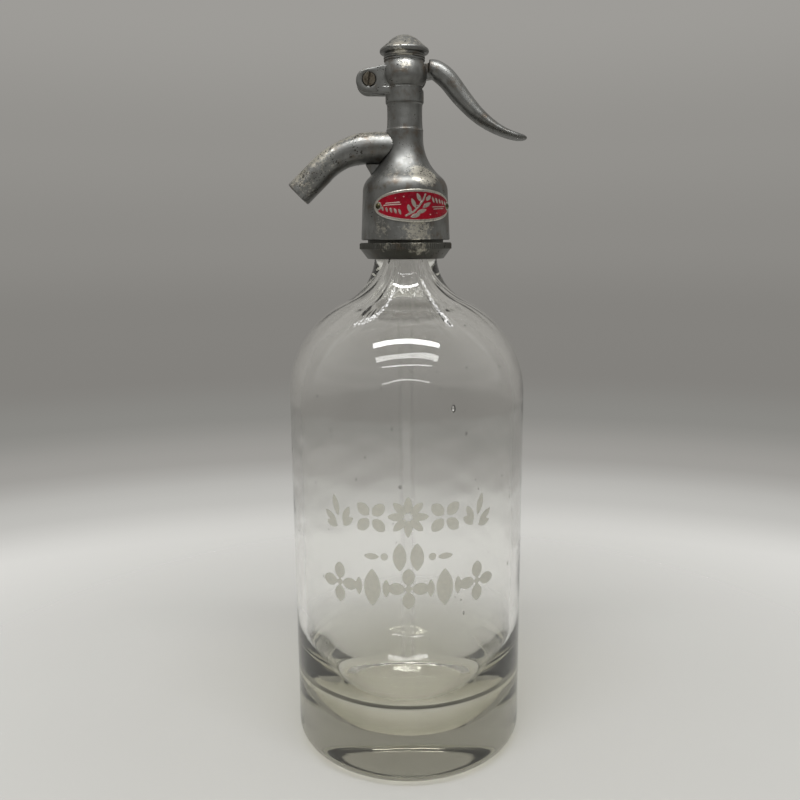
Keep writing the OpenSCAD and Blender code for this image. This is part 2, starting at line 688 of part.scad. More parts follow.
module spout() {
    color(alloy_colour)
        difference() {
            union() {
                difference() {
                    union() {
                        skin([for (i = [-1:spout_rings + 1]) spout_ring(bend_angle * i / spout_rings)]);
                        translate([-bend_x + skin_overlap, 0, spout_z]) rotate([0, 90, 0])
                            cylinder(d = spout_root_d, h = bend_x - skin_overlap);
                    }
                    head_outside();
                }
                translate([-bend_x, 0, spout_z]) rotate([0, 90, 0])
                    cylinder(d = tenon_d, h = bend_x - tenon_x);
                at_bend_end() translate([0, 0, skin_overlap])
                    cylinder(d = spout_tip_d, h = tip_l - skin_overlap);
            }
            bend_cutter(passage_d);
            translate([-bend_x - skin_overlap, 0, spout_z]) rotate([0, 90, 0])
                cylinder(d = reamed_d, h = bend_x + skin_overlap);
            at_bend_end() translate([0, 0, -skin_overlap])
                cylinder(d = reamed_d, h = tip_l + skin_overlap + over);
        }
}

// Valve -------------------------------------------------------------------------------------------

module valve_seat() {
    lip_t = 0.7;
    color(brass_colour)
        difference() {
            union() {
                translate([0, 0, seat_z + lip_t]) cylinder(d = seat_d, h = seat_h - lip_t);
                translate([0, 0, seat_z]) cylinder(d = seat_rim_d, h = seat_h);
            }
            translate([0, 0, seat_z - over]) cylinder(d = passage_d, h = seat_h + 2 * over);
        }
}

module valve_stem() {
    color(brass_colour)
        translate([0, 0, stem_foot]) cylinder(d = stem_d, h = button_top - 0.8 - stem_foot);
}

module valve_washer() {
    color(rubber_colour) ring_solid(washer_d, stem_d, washer_z, washer_t);
}

module valve_plate() {
    color(brass_colour) ring_solid(plate_d, stem_d, plate_z, plate_t);
}

module valve_nut() {
    color(brass_colour)
        translate([0, 0, valve_nut_z])
            difference() {
                cylinder(d = valve_nut_d, h = valve_nut_t, $fn = 6);
                translate([0, 0, -over]) cylinder(d = stem_d, h = valve_nut_t + 2 * over);
            }
}

module packing_washer() {
    color(brass_colour) ring_solid(plug_d, stem_bore_d, packing_z, packing_washer_t);
}

module stem_packing() {
    color(rubber_colour) ring_solid(plug_d, stem_bore_d, packing_ring_z, packing_t);
}

module gland_nut() {
    key_w = 1.4;
    key_h = 1.2;
    color(brass_colour)
        difference() {
            ring_solid(plug_d, stem_bore_d, gland_z, gland_t);
            translate([-pocket_d, -key_w / 2, gland_top - key_h]) cube([2 * pocket_d, key_w, key_h + over]);
        }
}

module stem_button() {
    color(brass_colour)
        difference() {
            translate([0, 0, button_z]) cylinder(d = button_d, h = button_t);
            translate([0, 0, button_z - over]) cylinder(d = stem_d, h = button_t - 0.8 + over);
        }
}

function spring_ring(i, count) = let (a = i * 360 / spring_steps,
    z = spring_foot + (spring_head - spring_foot) * i / count)
    [for (j = [0:spring_sides - 1]) let (b = j * 360 / spring_sides,
        out = spring_r + spring_wire / 2 * cos(b))
        [out * cos(a), out * sin(a), z + spring_wire / 2 * sin(b)]];

module return_spring() {
    count = spring_turns * spring_steps;
    color(steel_colour) skin([for (i = [0:count]) spring_ring(i, count)]);
}

// Lever, screw and cap ----------------------------------------------------------------------------

function lever_ring(points, i) = let (p = points[i],
    before = points[max(0, i - 1)],
    after = points[min(len(points) - 1, i + 1)],
    run = [after[0] - before[0], before[1] - after[1]],
    along = run / norm(run))
    [for (j = [0:lever_sides - 1]) let (b = j * 360 / lever_sides, up = p[2] * cos(b))
        [p[0] - along[1] * up, p[3] * sin(b), bulb_top - p[1] + along[0] * up]];

module lever_tongue() {
    cross_plate(tongue_t) union() {
        hull() {
            translate([-pivot_x, pivot_z]) circle(r = eye_r);
            translate(tongue_mid) circle(r = tongue_mid_r);
        }
        hull() {
            translate(tongue_mid) circle(r = tongue_mid_r);
            translate(tongue_root) circle(r = tongue_root_r);
        }
        translate([0, pivot_z]) circle(r = nose_r);
    }
}

module lever() {
    points = smooth(lever_stations, lever_rings);
    color(alloy_colour)
        difference() {
            union() {
                lever_tongue();
                skin([for (i = [0:len(points) - 1]) lever_ring(points, i)]);
            }
            cross_cylinder([-pivot_x, pivot_z], screw_d + 2 * fixed_gap, -tongue_t, tongue_t);
        }
}

module pivot_screw() {
    head_y = -cheek_y + screw_sink;
    slot_depth = 0.7;
    color(steel_colour)
        difference() {
            union() {
                cross_cylinder([-pivot_x, pivot_z], screw_head_d, head_y - screw_head_t, head_y);
                cross_cylinder([-pivot_x, pivot_z], screw_d, head_y, slot_w / 2);
                cross_cylinder([-pivot_x, pivot_z], screw_thread_d, 0, cheek_y - 0.4);
            }
            translate([-pivot_x, head_y - screw_head_t, pivot_z]) rotate([0, screw_slot_turn, 0])
                cube([screw_slot_w, 2 * slot_depth, 2 * screw_head_d], center = true);
        }
}

module head_cap() {
    top = cap_z + cap_h;
    rim_mid = cap_rim_z + cap_rim_t / 2;
    dome_arc_r = (pow(cap_dome_x, 2) + pow(cap_dome_h, 2)) / (2 * cap_dome_h);
    dome_a = asin(cap_dome_x / dome_arc_r);
    color(alloy_colour)
        difference() {
            union() {
                rotate_extrude() polygon(concat(
                    [[0, cap_z], [bulb_top_d / 2 - 0.15, cap_z], [bulb_top_d / 2 - 0.15, cap_rim_z]],
                    arc([cap_d / 2 - cap_rim_t / 2, rim_mid], cap_rim_t / 2, -70, 60, 8),
                    arc([0, top - dome_arc_r], dome_arc_r, 90 - dome_a, 90, 10)));
                translate([0, 0, cap_z - cap_plug_l]) cylinder(d = cap_plug_d, h = cap_plug_l + over);
            }
            translate([0, 0, cap_z - cap_plug_l - over])
                cylinder(d = cap_plug_d - 2 * cap_plug_wall, h = cap_plug_l + cap_neck_h + over);
        }
}

module cap_washer() {
    color(dark_alloy_colour) ring_solid(bulb_top_d, lever_bore_d, bulb_top, cap_washer_t);
}

// Name plate --------------------------------------------------------------------------------------

function skirt_radius(z) = skirt_d / 2 + (skirt_top_d - skirt_d) / 2 * (z - skirt_z) / skirt_h;

// An ellipse laid round the skirt, seen square on.
module badge_outline() {
    polygon([for (i = [0:47]) let (a = i * 360 / 48)
        [badge_r * sin(badge_l / 2 * cos(a) / badge_r * 180 / PI), badge_h / 2 * sin(a)]]);
}

// Puts its children at each rivet, with +Z pointing into the skirt.
module rivet_places() {
    for (side = [-1, 1])
        rotate([0, 0, badge_turn + side * rivet_a]) translate([0, -badge_r - badge_t, badge_z])
            rotate([-90, 0, 0]) children();
}

module badge_plate() {
    low = badge_z - badge_h / 2 - over;
    high = badge_z + badge_h / 2 + over;
    color(badge_colour)
        difference() {
            intersection() {
                rotate_extrude() polygon([[skirt_radius(low), low],
                                          [skirt_radius(low) + badge_t, low],
                                          [skirt_radius(high) + badge_t, high],
                                          [skirt_radius(high), high]]);
                rotate([0, 0, badge_turn]) translate([0, 0, badge_z]) rotate([90, 0, 0])
                    linear_extrude(height = 2 * badge_r) badge_outline();
            }
            rivet_places() translate([0, 0, -over]) cylinder(d = rivet_d, h = 2 * badge_t + 2 * over);
            rivet_places() translate([0, 0, -over]) cylinder(d = rivet_head_d + 2 * fixed_gap, h = over);
        }
}

module badge_rivets() {
    head_t = 0.5;
    color(steel_colour)
        rivet_places() {
            cylinder(d = rivet_d, h = rivet_l);
            translate([0, 0, -head_t]) cylinder(d1 = rivet_head_d - 0.8, d2 = rivet_head_d, h = head_t);
        }
}

glass_bottle();
neck_ring();
collar_half_front();
collar_half_back();
lip_gasket();
tube_ferrule();
tube_grommet();
dip_tube();
head_gasket();
head_body();
spout();
valve_seat();
valve_stem();
valve_washer();
valve_plate();
valve_nut();
packing_washer();
stem_packing();
gland_nut();
return_spring();
stem_button();
lever();
pivot_screw();
head_cap();
cap_washer();
badge_plate();
badge_rivets();
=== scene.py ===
"""Soda siphon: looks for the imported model, built and dressed in Blender.

The bottle, the castings, the name plate and the return spring are new pieces that stand for their
plain solids. Everything else keeps its solid and gets a finish. Sizes of the siphon are millimetres,
as on a drawing, and become metres when a mesh is made. Those of the lamps and the camera are metres.
+Z is up, the spout points along -X, the lever along +X, and the name plate faces -Y.
"""

import json
import logging
import math
from dataclasses import dataclass, field
from enum import Enum
from typing import Optional, Sequence

import bmesh
import bpy
import numpy as np
from bpy.types import Material, Mesh, Node, NodeSocket, NodeTree, Object
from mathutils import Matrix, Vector

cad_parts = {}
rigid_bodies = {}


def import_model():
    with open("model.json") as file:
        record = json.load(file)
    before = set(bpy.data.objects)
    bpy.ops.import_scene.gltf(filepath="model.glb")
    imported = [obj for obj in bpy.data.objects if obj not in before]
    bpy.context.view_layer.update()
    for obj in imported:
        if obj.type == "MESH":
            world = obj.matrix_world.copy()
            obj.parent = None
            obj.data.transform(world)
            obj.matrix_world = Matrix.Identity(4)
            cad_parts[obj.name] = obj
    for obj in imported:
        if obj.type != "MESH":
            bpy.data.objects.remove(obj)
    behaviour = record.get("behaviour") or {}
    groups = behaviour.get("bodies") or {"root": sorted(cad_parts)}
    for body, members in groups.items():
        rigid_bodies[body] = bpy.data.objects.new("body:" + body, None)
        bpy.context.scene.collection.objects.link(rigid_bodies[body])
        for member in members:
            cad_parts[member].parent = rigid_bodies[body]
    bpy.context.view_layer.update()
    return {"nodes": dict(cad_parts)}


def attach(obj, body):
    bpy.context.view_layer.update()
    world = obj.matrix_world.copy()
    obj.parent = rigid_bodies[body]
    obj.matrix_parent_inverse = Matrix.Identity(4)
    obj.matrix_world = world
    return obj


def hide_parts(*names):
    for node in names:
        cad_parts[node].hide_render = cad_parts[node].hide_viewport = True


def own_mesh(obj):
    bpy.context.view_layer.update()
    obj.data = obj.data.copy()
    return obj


LOG = logging.getLogger("siphon")
MM = 0.001
GLASS_IOR = 1.52
# Depth that a stencil gives to places far outside its shapes, in millimetres.
FAR_OUT = -5.0
# Kinds of node, with their choice among options after the dot, and the setting that holds the choice.
# RISE eases from 0 to 1 as its value goes from the second input to the third.
PLUS, MINUS, TIMES, TIMES_PLUS = "Math.ADD", "Math.SUBTRACT", "Math.MULTIPLY", "Math.MULTIPLY_ADD"
RISE, BLEND, NOISE = "MapRange.SMOOTHSTEP", "Mix.RGBA", "TexNoise"
OPTION = {
    "Math": "operation", "VectorMath": "operation", "MapRange": "interpolation_type", "Mix": "data_type",
}

Point = tuple[float, float]
Place = tuple[float, float, float]


class Body(Enum):
    """The bodies that a new piece can ride on."""

    BOTTLE = "bottle_and_head"
    LEVER = "lever"


class Slot(Enum):
    """The record's material slots of the new pieces."""

    GLASS = "bottle_glass"
    CASTING = "cast_alloy"
    STEEL = "worn_steel"
    ENAMEL = "badge_enamel"


# Colours and node trees --------------------------------------------------------------------------


def linear(code: str) -> tuple[float, float, float, float]:
    """Turns an sRGB hex colour into linear RGBA.

    Args:
        code: Six hex digits after a hash.

    Returns:
        Linear red, green, blue and an alpha of 1.
    """
    values = [int(code[i : i + 2], 16) / 255 for i in (1, 3, 5)]
    red, green, blue = (v / 12.92 if v <= 0.04045 else ((v + 0.055) / 1.055) ** 2.4 for v in values)
    return red, green, blue, 1.0


def add(tree: NodeTree, kind: str, *values: object, **named: object) -> Node:
    """Adds one node to a tree, with its settings and its links.

    A value is a number, a tuple, an sRGB hex colour, a socket, or a node, which stands for its first
    output. None leaves an input as it is.

    Args:
        tree: The node tree that gets the node.
        kind: The node's type without the ShaderNode prefix, and after a dot its choice among options.
        *values: Values of its inputs, in their order.
        **named: Its settings in small letters, and its inputs by their names with a capital, where _
            stands for a space.

    Returns:
        The new node.
    """
    kind, _, option = kind.partition(".")
    node = tree.nodes.new("ShaderNode" + kind)
    if option:
        setattr(node, OPTION[kind], option)
    for name in [name for name in named if name[0].islower()]:
        setattr(node, name, named.pop(name))
    pairs = list(zip([socket for socket in node.inputs if socket.enabled], values))
    pairs += [(node.inputs[name.replace("_", " ")], value) for name, value in named.items()]
    for socket, value in pairs:
        if isinstance(value, Node):
            value = next(output for output in value.outputs if output.enabled)
        if isinstance(value, NodeSocket):
            tree.links.new(value, socket)
        elif value is not None:
            socket.default_value = linear(value) if isinstance(value, str) else value
    return node


def per(size: float) -> float:
    """Scale of a pattern whose blotches are a size in millimetres."""
    return 1 / (size * MM)


def patches(
    tree: NodeTree, where: object, size: float, low: float, high: float,
    detail: float = 4, rough: float = 0.55,
) -> Node:
    """Soft-edged patches of a real size.

    Args:
        tree: The node tree.
        where: The coordinates, in metres.
        size: The patches' size in millimetres.
        low: Value of the noise at which a patch begins.
        high: Value at which it is full.
        detail: Octaves of finer noise.
        rough: Strength of each finer octave.

    Returns:
        The patches, from 0 to 1.
    """
    return add(tree, RISE, add(tree, NOISE, where, per(size), detail, rough), low, high)


def weigh(tree: NodeTree, start: object, *terms: tuple[object, float]) -> object:
    """A value plus weighted patterns.

    Args:
        tree: The node tree.
        start: The value.
        *terms: Each pattern with its weight.

    Returns:
        The sum.
    """
    for pattern, weight in terms:
        start = add(tree, TIMES_PLUS, pattern, weight, start)
    return start


# Finishes ----------------------------------------------------------------------------------------


@dataclass(frozen=True)
class Finish:
    """What a piece is made of and how its surface was made.

    Args:
        name: The material's name.
    """

    name: str

    def build(self) -> Material:
        """Makes the material.

        Returns:
            The finished material.
        """
        material = bpy.data.materials.new(self.name)
        material.use_nodes = True
        tree = material.node_tree
        tree.nodes.clear()
        where = add(tree, "TexCoord").outputs["Object"]
        add(tree, "OutputMaterial", self.surface(tree, where), self.inside(tree))
        return material

    def surface(self, tree: NodeTree, where: NodeSocket) -> Node:
        """Adds the surface's nodes.

        Args:
            tree: The material's node tree.
            where: Coordinates on the object, in metres.

        Returns:
            The surface's shader.
        """
        raise NotImplementedError

    def inside(self, tree: NodeTree) -> Optional[Node]:
        """Adds what fills the piece, which is nothing where it never shows."""
        return None


@dataclass(frozen=True)
class WearAndSheenSpot:
    """A place where a casting is drawn as rubbed bright metal: worn by handling, and on the neck ring a
    painted highlight.

    Args:
        at: The middle of the spot in millimetres.
        radius: How far it reaches in millimetres.
        strength: How bright it gets, from 0 to 1.
    """

    at: Place
    radius: float
    strength: float = 1.0


@dataclass(frozen=True)
class CastAlloy(Finish):
    """Tarnished white-metal casting: sand-cast zinc and tin alloy, once polished and now dull.

    The dull oxide gives a soft grey sheen. Rubbed places are brighter and warmer, and the pits that
    years of handling have opened are dark and rough. Up-facing surfaces are drawn as rubbed metal,
    partly as wear and partly as a painted highlight, and undersides and corners get painted shade.

    Args:
        name: The material's name.
        oxide: Colour of the dull oxide.
        rubbed_and_sheen: Colour of the rubbed metal, which on up-facing surfaces and on the neck ring's
            front spots is also a painted highlight.
        pit: Colour inside the pits.
        streak: Colour of the streaks in which tarnish has run down.
        stain: Colour of the brown stains.
        underside_shade: Colour of the shade painted on undersides.
        recess_shade: Colour of the shade painted in corners.
        rough: Roughness of the oxide.
        spots: Rubbed places. On the neck ring they are painted highlights.
        top_wear_and_sheen: How strongly up-facing surfaces are drawn as rubbed metal, partly as wear
            and partly as a painted highlight from above.
        pits: How many of the pits show, from 0 to 1.
        edge: Radius in millimetres by which sharp edges look rounded, or 0 for a skin that is round.
        lines: Fine lines round the column, as height above the foot and relief, in millimetres.
        column_r: How far from the axis those lines reach, in millimetres.
        dents: Relief of the small dents in millimetres.
        seed: Shifts the pattern, so that two castings don't match.
    """

    name: str = "tarnished_white_metal"
    oxide: str = "#989997"
    rubbed_and_sheen: str = "#d6d2c6"
    pit: str = "#38352f"
    streak: str = "#5b5a57"
    stain: str = "#746759"
    underside_shade: str = "#3f3d39"
    recess_shade: str = "#2f2c28"
    rough: float = 0.4
    spots: tuple[WearAndSheenSpot, ...] = ()
    top_wear_and_sheen: float = 0.5
    pits: float = 0.5
    edge: float = 0.0
    lines: tuple[Point, ...] = ()
    column_r: float = 10.2
    dents: float = 0.06
    seed: float = 0.0

    def surface(self, tree: NodeTree, where: NodeSocket) -> Node:
        """Adds the surface's nodes.

        Args:
            tree: The material's node tree.
            where: Coordinates on the object, in metres.

        Returns:
            The surface's shader.
        """
        moved = add(tree, "VectorMath.ADD", where, (self.seed, self.seed * 0.7, 0))
        up = add(tree, "SeparateXYZ", add(tree, "NewGeometry").outputs["Normal"]).outputs["Z"]
        wear_and_sheen = self._wear_and_sheen(tree, where, moved, up)
        pits = self._pits(tree, moved, wear_and_sheen)
        pitted = add(tree, TIMES, pits, 0.85)
        # Dark clouds 14 mm across, streaks 3 mm wide that run down, and stains 7 mm across.
        cloud = patches(tree, moved, 14, 0.35, 0.7)
        dark = add(tree, BLEND, 0.44, self.oxide, self.pit)
        down = add(tree, "Mapping", moved, Scale=(1, 1, 0.3))
        streak = add(tree, TIMES, patches(tree, down, 3.2, 0.42, 0.68, 4, 0.6), 0.34)
        stain = add(tree, TIMES, patches(tree, moved, 7, 0.52, 0.7, 5, 0.65), 0.75)
        # Painted shade: undersides get darker the further down they face.
        underside_shade = add(tree, TIMES, add(tree, RISE, up, 0.1, -0.55), 0.6)
        # Painted shade darkens corners, where surfaces close in on each other within about 1.5 mm.
        open_sky = add(tree, "AmbientOcclusion", Distance=1.5 * MM, samples=6).outputs["AO"]
        recess_shade = add(tree, TIMES, add(tree, RISE, open_sky, 0.62, 0.18), 0.7)
        metal: object = self.oxide
        for share, colour in (
            (cloud, dark), (streak, self.streak), (stain, self.stain), (underside_shade, self.underside_shade),
            (wear_and_sheen, self.rubbed_and_sheen), (pitted, self.pit), (recess_shade, self.recess_shade),
        ):
            metal = add(tree, BLEND, share, metal, colour)
        # The sand's grain, 1.1 mm, makes the polish uneven. Pits are rougher, rubbed places smoother.
        fine = add(tree, NOISE, moved, per(1.1), 3, 0.55)
        rough = weigh(tree, self.rough - 0.08, (fine, 0.16), (streak, 0.16), (wear_and_sheen, -0.08), (pitted, 0.25))
        height = weigh(tree, self._relief(tree, where, moved), (fine, 0.006), (pits, -0.06))
        bevel = add(tree, "Bevel", self.edge * MM, samples=6) if self.edge else None
        bump = add(tree, "Bump", 1.0, MM, Height=height, Normal=bevel)
        return add(tree, "BsdfPrincipled", Base_Color=metal, Metallic=1.0, Roughness=rough, Normal=bump)

    def _wear_and_sheen(self, tree: NodeTree, where: NodeSocket, moved: Node, up: NodeSocket) -> Node:
        """Where the casting is drawn as rubbed bright metal, in a broken, mottled pattern: wear, and on
        up-facing surfaces also a painted highlight.

        Args:
            tree: The node tree.
            where: Coordinates on the object.
            moved: Coordinates shifted by the seed.
            up: How far the surface faces up.

        Returns:
            How much rubbed metal shows.
        """
        # Up-facing surfaces get rubbed metal, partly as wear and partly as a painted highlight from above.
        total = add(tree, TIMES, add(tree, RISE, up, 0.15, 0.95), self.top_wear_and_sheen)
        for spot in self.spots:
            far = add(tree, "VectorMath.DISTANCE", where, tuple(v * MM for v in spot.at))
            near = add(tree, RISE, far, spot.radius * MM, spot.radius * 0.15 * MM)
            total = add(tree, TIMES_PLUS, near, spot.strength, total)
        reach = weigh(tree, total, (add(tree, NOISE, moved, per(1.5), 6, 0.72), 2.6))
        gate = add(tree, RISE, reach, 1.65, 2.1)
        return add(tree, TIMES, gate, add(tree, TIMES, total, 2.0, use_clamp=True))

    def _pits(self, tree: NodeTree, moved: Node, wear_and_sheen: Node) -> Node:
        """Small corrosion pits 0.9 mm apart, more of them where the metal is rubbed.

        Args:
            tree: The node tree.
            moved: Coordinates shifted by the seed.
            wear_and_sheen: How much rubbed metal shows, from wear and from the painted highlight.

        Returns:
            The pits, from 0 to 1.
        """
        cells = add(tree, "TexVoronoi", moved, per(0.9), Randomness=1.0)
        crowd = add(tree, NOISE, moved, per(4.5), 3, 0.55)
        start = -1.7 * (0.6 - 0.26 * self.pits)
        return add(tree, RISE, weigh(tree, start, (crowd, 1.7), (wear_and_sheen, 0.12), (cells, -1)), -0.06, 0.06)

    def _relief(self, tree: NodeTree, where: NodeSocket, moved: Node) -> Node:
        """Height of the cast skin in millimetres: slow waves, small dents and turned lines.

        Args:
            tree: The node tree.
            where: Coordinates on the object.
            moved: Coordinates shifted by the seed.

        Returns:
            The height.
        """
        waves = add(tree, NOISE, moved, per(9), 1, 0.55)
        dents = add(tree, NOISE, moved, per(2.8), 2, 0.55)
        height = weigh(tree, 0.0, (waves, 0.3), (dents, self.dents))
        if self.lines:
            x, y, z = add(tree, "SeparateXYZ", where).outputs
            far = add(tree, "VectorMath.LENGTH", add(tree, "CombineXYZ", x, y))
            column = add(tree, RISE, far, self.column_r * MM, (self.column_r - 0.3) * MM)
            for level, relief in self.lines:
                off = add(tree, "Math.ABSOLUTE", add(tree, MINUS, z, level * MM))
                line = add(tree, TIMES, add(tree, RISE, off, 0.45 * MM, 0.0), column)
                height = add(tree, TIMES_PLUS, line, relief, height)
        return height


@dataclass(frozen=True)
class SodaGlass(Finish):
    """Pressed and blown soda-lime glass, faintly grey-green, clear apart from its acid-etched zone.

    The tint only shows where the light runs far through the glass, so it is an absorption inside it.

    Args:
        name: The material's name.
        tint: Colour that the absorption leaves.
        density: Absorption density per metre.
        film: Share of white film on the surface, from 0 to 1.
        lime: Height where the water's lime begins, and height below which it is full, in millimetres.
        shade: Colour of the light that the glass lets through to what lies behind it.
        frost: Colour of the etched glass, or nothing where it has none.
        faint: Share of light that passes straight on, for a wall too thin to bend it much.
    """

    name: str = "soda_lime_glass"
    tint: str = "#dcdbd1"
    density: float = 26.0
    film: float = 0.003
    lime: Point = (135.0, 100.0)
    shade: str = "#e2e1da"
    frost: str = "#b4b2a6"
    faint: float = 0.0

    def surface(self, tree: NodeTree, where: NodeSocket) -> Node:
        """Adds the surface's nodes.

        Args:
            tree: The material's node tree.
            where: Coordinates on the object, in metres.

        Returns:
            The surface's shader.
        """
        # Faint draw marks: slow waves 6 mm across and 33 mm long that bend what is seen through them.
        long = add(tree, "Mapping", where, Scale=(1, 1, 0.18))
        draw = add(tree, NOISE, long, per(6), 1, 0.55)
        ripple = add(tree, NOISE, where, per(11), 0, 0.55)
        bump = add(tree, "Bump", 1.0, MM, Height=weigh(tree, 0.0, (draw, 0.014), (ripple, 0.016)))
        # A thin film of dust, about 1 % white, lifts the glass a little off what is behind it. Lime from
        # the water lies up to where it stood. White marks painted along two creases on the shoulder stand
        # in for the lamp's glitter there.
        dust = patches(tree, where, 16, 0.3, 0.85, 5, 0.6)
        height = add(tree, "SeparateXYZ", where).outputs["Z"]
        lime = add(tree, RISE, height, self.lime[0] * MM, self.lime[1] * MM)
        wrinkle = add(tree, "Attribute", attribute_name="wrinkle").outputs["Fac"]
        grit = add(tree, NOISE, where, per(1.0), 5, 0.7)
        # Painted glitter: white marks along the creases stand in for the lamp's glints.
        painted_glitter = add(tree, RISE, add(tree, TIMES_PLUS, wrinkle, 0.5, grit), 0.95, 1.06)
        clear = weigh(
            tree, 1 - self.film, (dust, -1.5 * self.film), (lime, -4 * self.film), (painted_glitter, -0.7)
        )
        surface = add(
            tree, "BsdfPrincipled", Base_Color="#ffffff", Roughness=add(tree, TIMES, dust, 0.012),
            IOR=GLASS_IOR, Transmission_Weight=clear, Normal=bump,
        )
        if self.frost:
            surface = self._etch(tree, where, surface)
        if self.faint:
            surface = add(tree, "MixShader", self.faint, surface, add(tree, "BsdfTransparent"))
        # Lamps shine through the bottle, so that its shadow stays as pale as glass leaves it.
        lamp_ray = add(tree, "LightPath").outputs["Is Shadow Ray"]
        return add(tree, "MixShader", lamp_ray, surface, add(tree, "BsdfTransparent", self.shade))

    def inside(self, tree: NodeTree) -> Optional[Node]:
        """Adds the absorption inside the glass."""
        return add(tree, "VolumeAbsorption", self.tint, self.density)

    def _etch(self, tree: NodeTree, where: NodeSocket, clear: Node) -> Node:
        """Acid-etched frost inside the stencil's shapes, patchy and with slightly ragged edges.

        Args:
            tree: The node tree.
            where: Coordinates on the object.
            clear: The clear glass.

        Returns:
            Glass that is frosted in the stencil's shapes.
        """
        depth = add(tree, "Attribute", attribute_name="stencil").outputs["Fac"]
        ragged = add(tree, TIMES_PLUS, add(tree, NOISE, where, per(0.9), 3, 0.55), 0.25, depth)
        mask = add(tree, RISE, ragged, 0.025, 0.265)
        full = add(tree, TIMES_PLUS, add(tree, NOISE, where, per(3), 4, 0.55), 0.4, 0.68)
        patchy = add(tree, TIMES, mask, full, use_clamp=True)
        # Etched glass is a mat of tiny facets about 0.05 mm across, drawn at 0.3 mm so that it shows.
        grit = add(tree, TIMES, add(tree, NOISE, where, per(0.3), 2, 0.55), 0.03)
        haze = add(
            tree, "BsdfPrincipled", Base_Color=self.frost, Roughness=0.6, IOR=GLASS_IOR,
            Transmission_Weight=0.3, Normal=add(tree, "Bump", 1.0, MM, Height=grit),
        )
        return add(tree, "MixShader", patchy, clear, haze)


@dataclass(frozen=True)
class AgedBrass(Finish):
    """Turned brass that has gone brown: drawn bar, machined, then years of damp.

    Args:
        name: The material's name.
        bright: Colour of the bare brass.
        brown: Colour of the tarnish.
        recess_shade: Colour of the shade painted in slots and corners.
        rough: Roughness.
    """

    name: str = "tarnished_turned_brass"
    bright: str = "#a48c5a"
    brown: str = "#54452f"
    recess_shade: str = "#1d1915"
    rough: float = 0.38

    def surface(self, tree: NodeTree, where: NodeSocket) -> Node:
        """Adds the surface's nodes.

        Args:
            tree: The material's node tree.
            where: Coordinates on the object, in metres.

        Returns:
            The surface's shader.
        """
        tarnish = patches(tree, where, 1.8, 0.38, 0.66, 5, 0.65)
        colour = add(tree, BLEND, tarnish, self.bright, self.brown)
        # Painted shade darkens slots and corners within about 0.8 mm.
        open_sky = add(tree, "AmbientOcclusion", Distance=0.8 * MM, samples=6).outputs["AO"]
        recess_shade = add(tree, TIMES, add(tree, RISE, open_sky, 0.75, 0.3), 0.9)
        colour = add(tree, BLEND, recess_shade, colour, self.recess_shade)
        rough = add(tree, TIMES_PLUS, tarnish, 0.2, self.rough)
        # Turning marks, about 0.25 mm apart along the axis.
        turned = add(tree, "Mapping", where, Scale=(0.2, 0.2, 5))
        lines = add(tree, TIMES, add(tree, NOISE, turned, per(1.2), 2, 0.55), 0.02)
        bevel = add(tree, "Bevel", 0.15 * MM, samples=6)
        bump = add(tree, "Bump", 1.0, MM, Height=lines, Normal=bevel)
        return add(tree, "BsdfPrincipled", Base_Color=colour, Metallic=1.0, Roughness=rough, Normal=bump)


@dataclass(frozen=True)
class SealRubber(Finish):
    """Moulded black rubber of the seals: matt, with a faint bloom.

    Args:
        name: The material's name.
        base: Colour of the rubber.
        bloom: Colour of the bloom.
    """

    name: str = "moulded_seal_rubber"
    base: str = "#1d1c1a"
    bloom: str = "#45423c"

    def surface(self, tree: NodeTree, where: NodeSocket) -> Node:
        """Adds the surface's nodes.

        Args:
            tree: The material's node tree.
            where: Coordinates on the object, in metres.

        Returns:
            The surface's shader.
        """
        haze = patches(tree, where, 3, 0.45, 0.75)
        colour = add(tree, BLEND, haze, self.base, self.bloom)
        skin = add(tree, TIMES, add(tree, NOISE, where, per(0.4), 3, 0.55), 0.02)
        return add(
            tree, "BsdfPrincipled", Base_Color=colour, Roughness=add(tree, TIMES_PLUS, haze, 0.25, 0.55),
            IOR=1.52, Normal=add(tree, "Bump", 1.0, MM, Height=skin),
        )


@dataclass(frozen=True)
class StampedEnamel(Finish):
    """Stamped aluminium name plate: the low parts filled with red stoving enamel, the high ones bare.

    Args:
        name: The material's name.
        enamel: Colour of the enamel.
        deep: Colour where the enamel lies thick or dirty.
        bare: Colour of the bare aluminium.
        dirt: Colour of the dirt on it.
    """

    name: str = "stoved_enamel_on_aluminium"
    enamel: str = "#7a0016"
    deep: str = "#5c0112"
    bare: str = "#d0ccc2"
    dirt: str = "#6d695f"

    def surface(self, tree: NodeTree, where: NodeSocket) -> Node:
        """Adds the surface's nodes.

        Args:
            tree: The material's node tree.
            where: Coordinates on the object, in metres.

        Returns:
            The surface's shader.
        """
        high = add(tree, "Attribute", attribute_name="stencil").outputs["Fac"]
        chips = add(tree, NOISE, where, per(0.7), 3, 0.6)
        mask = add(tree, RISE, add(tree, TIMES_PLUS, chips, 0.22, high), 0.07, 0.18)
        red = add(tree, BLEND, patches(tree, where, 5, 0.35, 0.75), self.enamel, self.deep)
        dirt = patches(tree, where, 1.1, 0.5, 0.68, 5, 0.7)
        bare = add(tree, BLEND, add(tree, TIMES, dirt, 0.7), self.bare, self.dirt)
        bump = add(tree, "Bump", 1.0, MM, Height=weigh(tree, 0.0, (mask, 0.12), (chips, 0.02)))
        film = add(
            tree, "BsdfPrincipled", Base_Color=red, Roughness=add(tree, TIMES_PLUS, dirt, 0.2, 0.2),
            IOR=1.5, Specular_IOR_Level=0.3, Normal=bump,
        )
        plate = add(
            tree, "BsdfPrincipled", Base_Color=bare, Metallic=1.0,
            Roughness=add(tree, TIMES_PLUS, dirt, 0.2, 0.34), Normal=bump,
        )
        return add(tree, "MixShader", mask, film, plate)


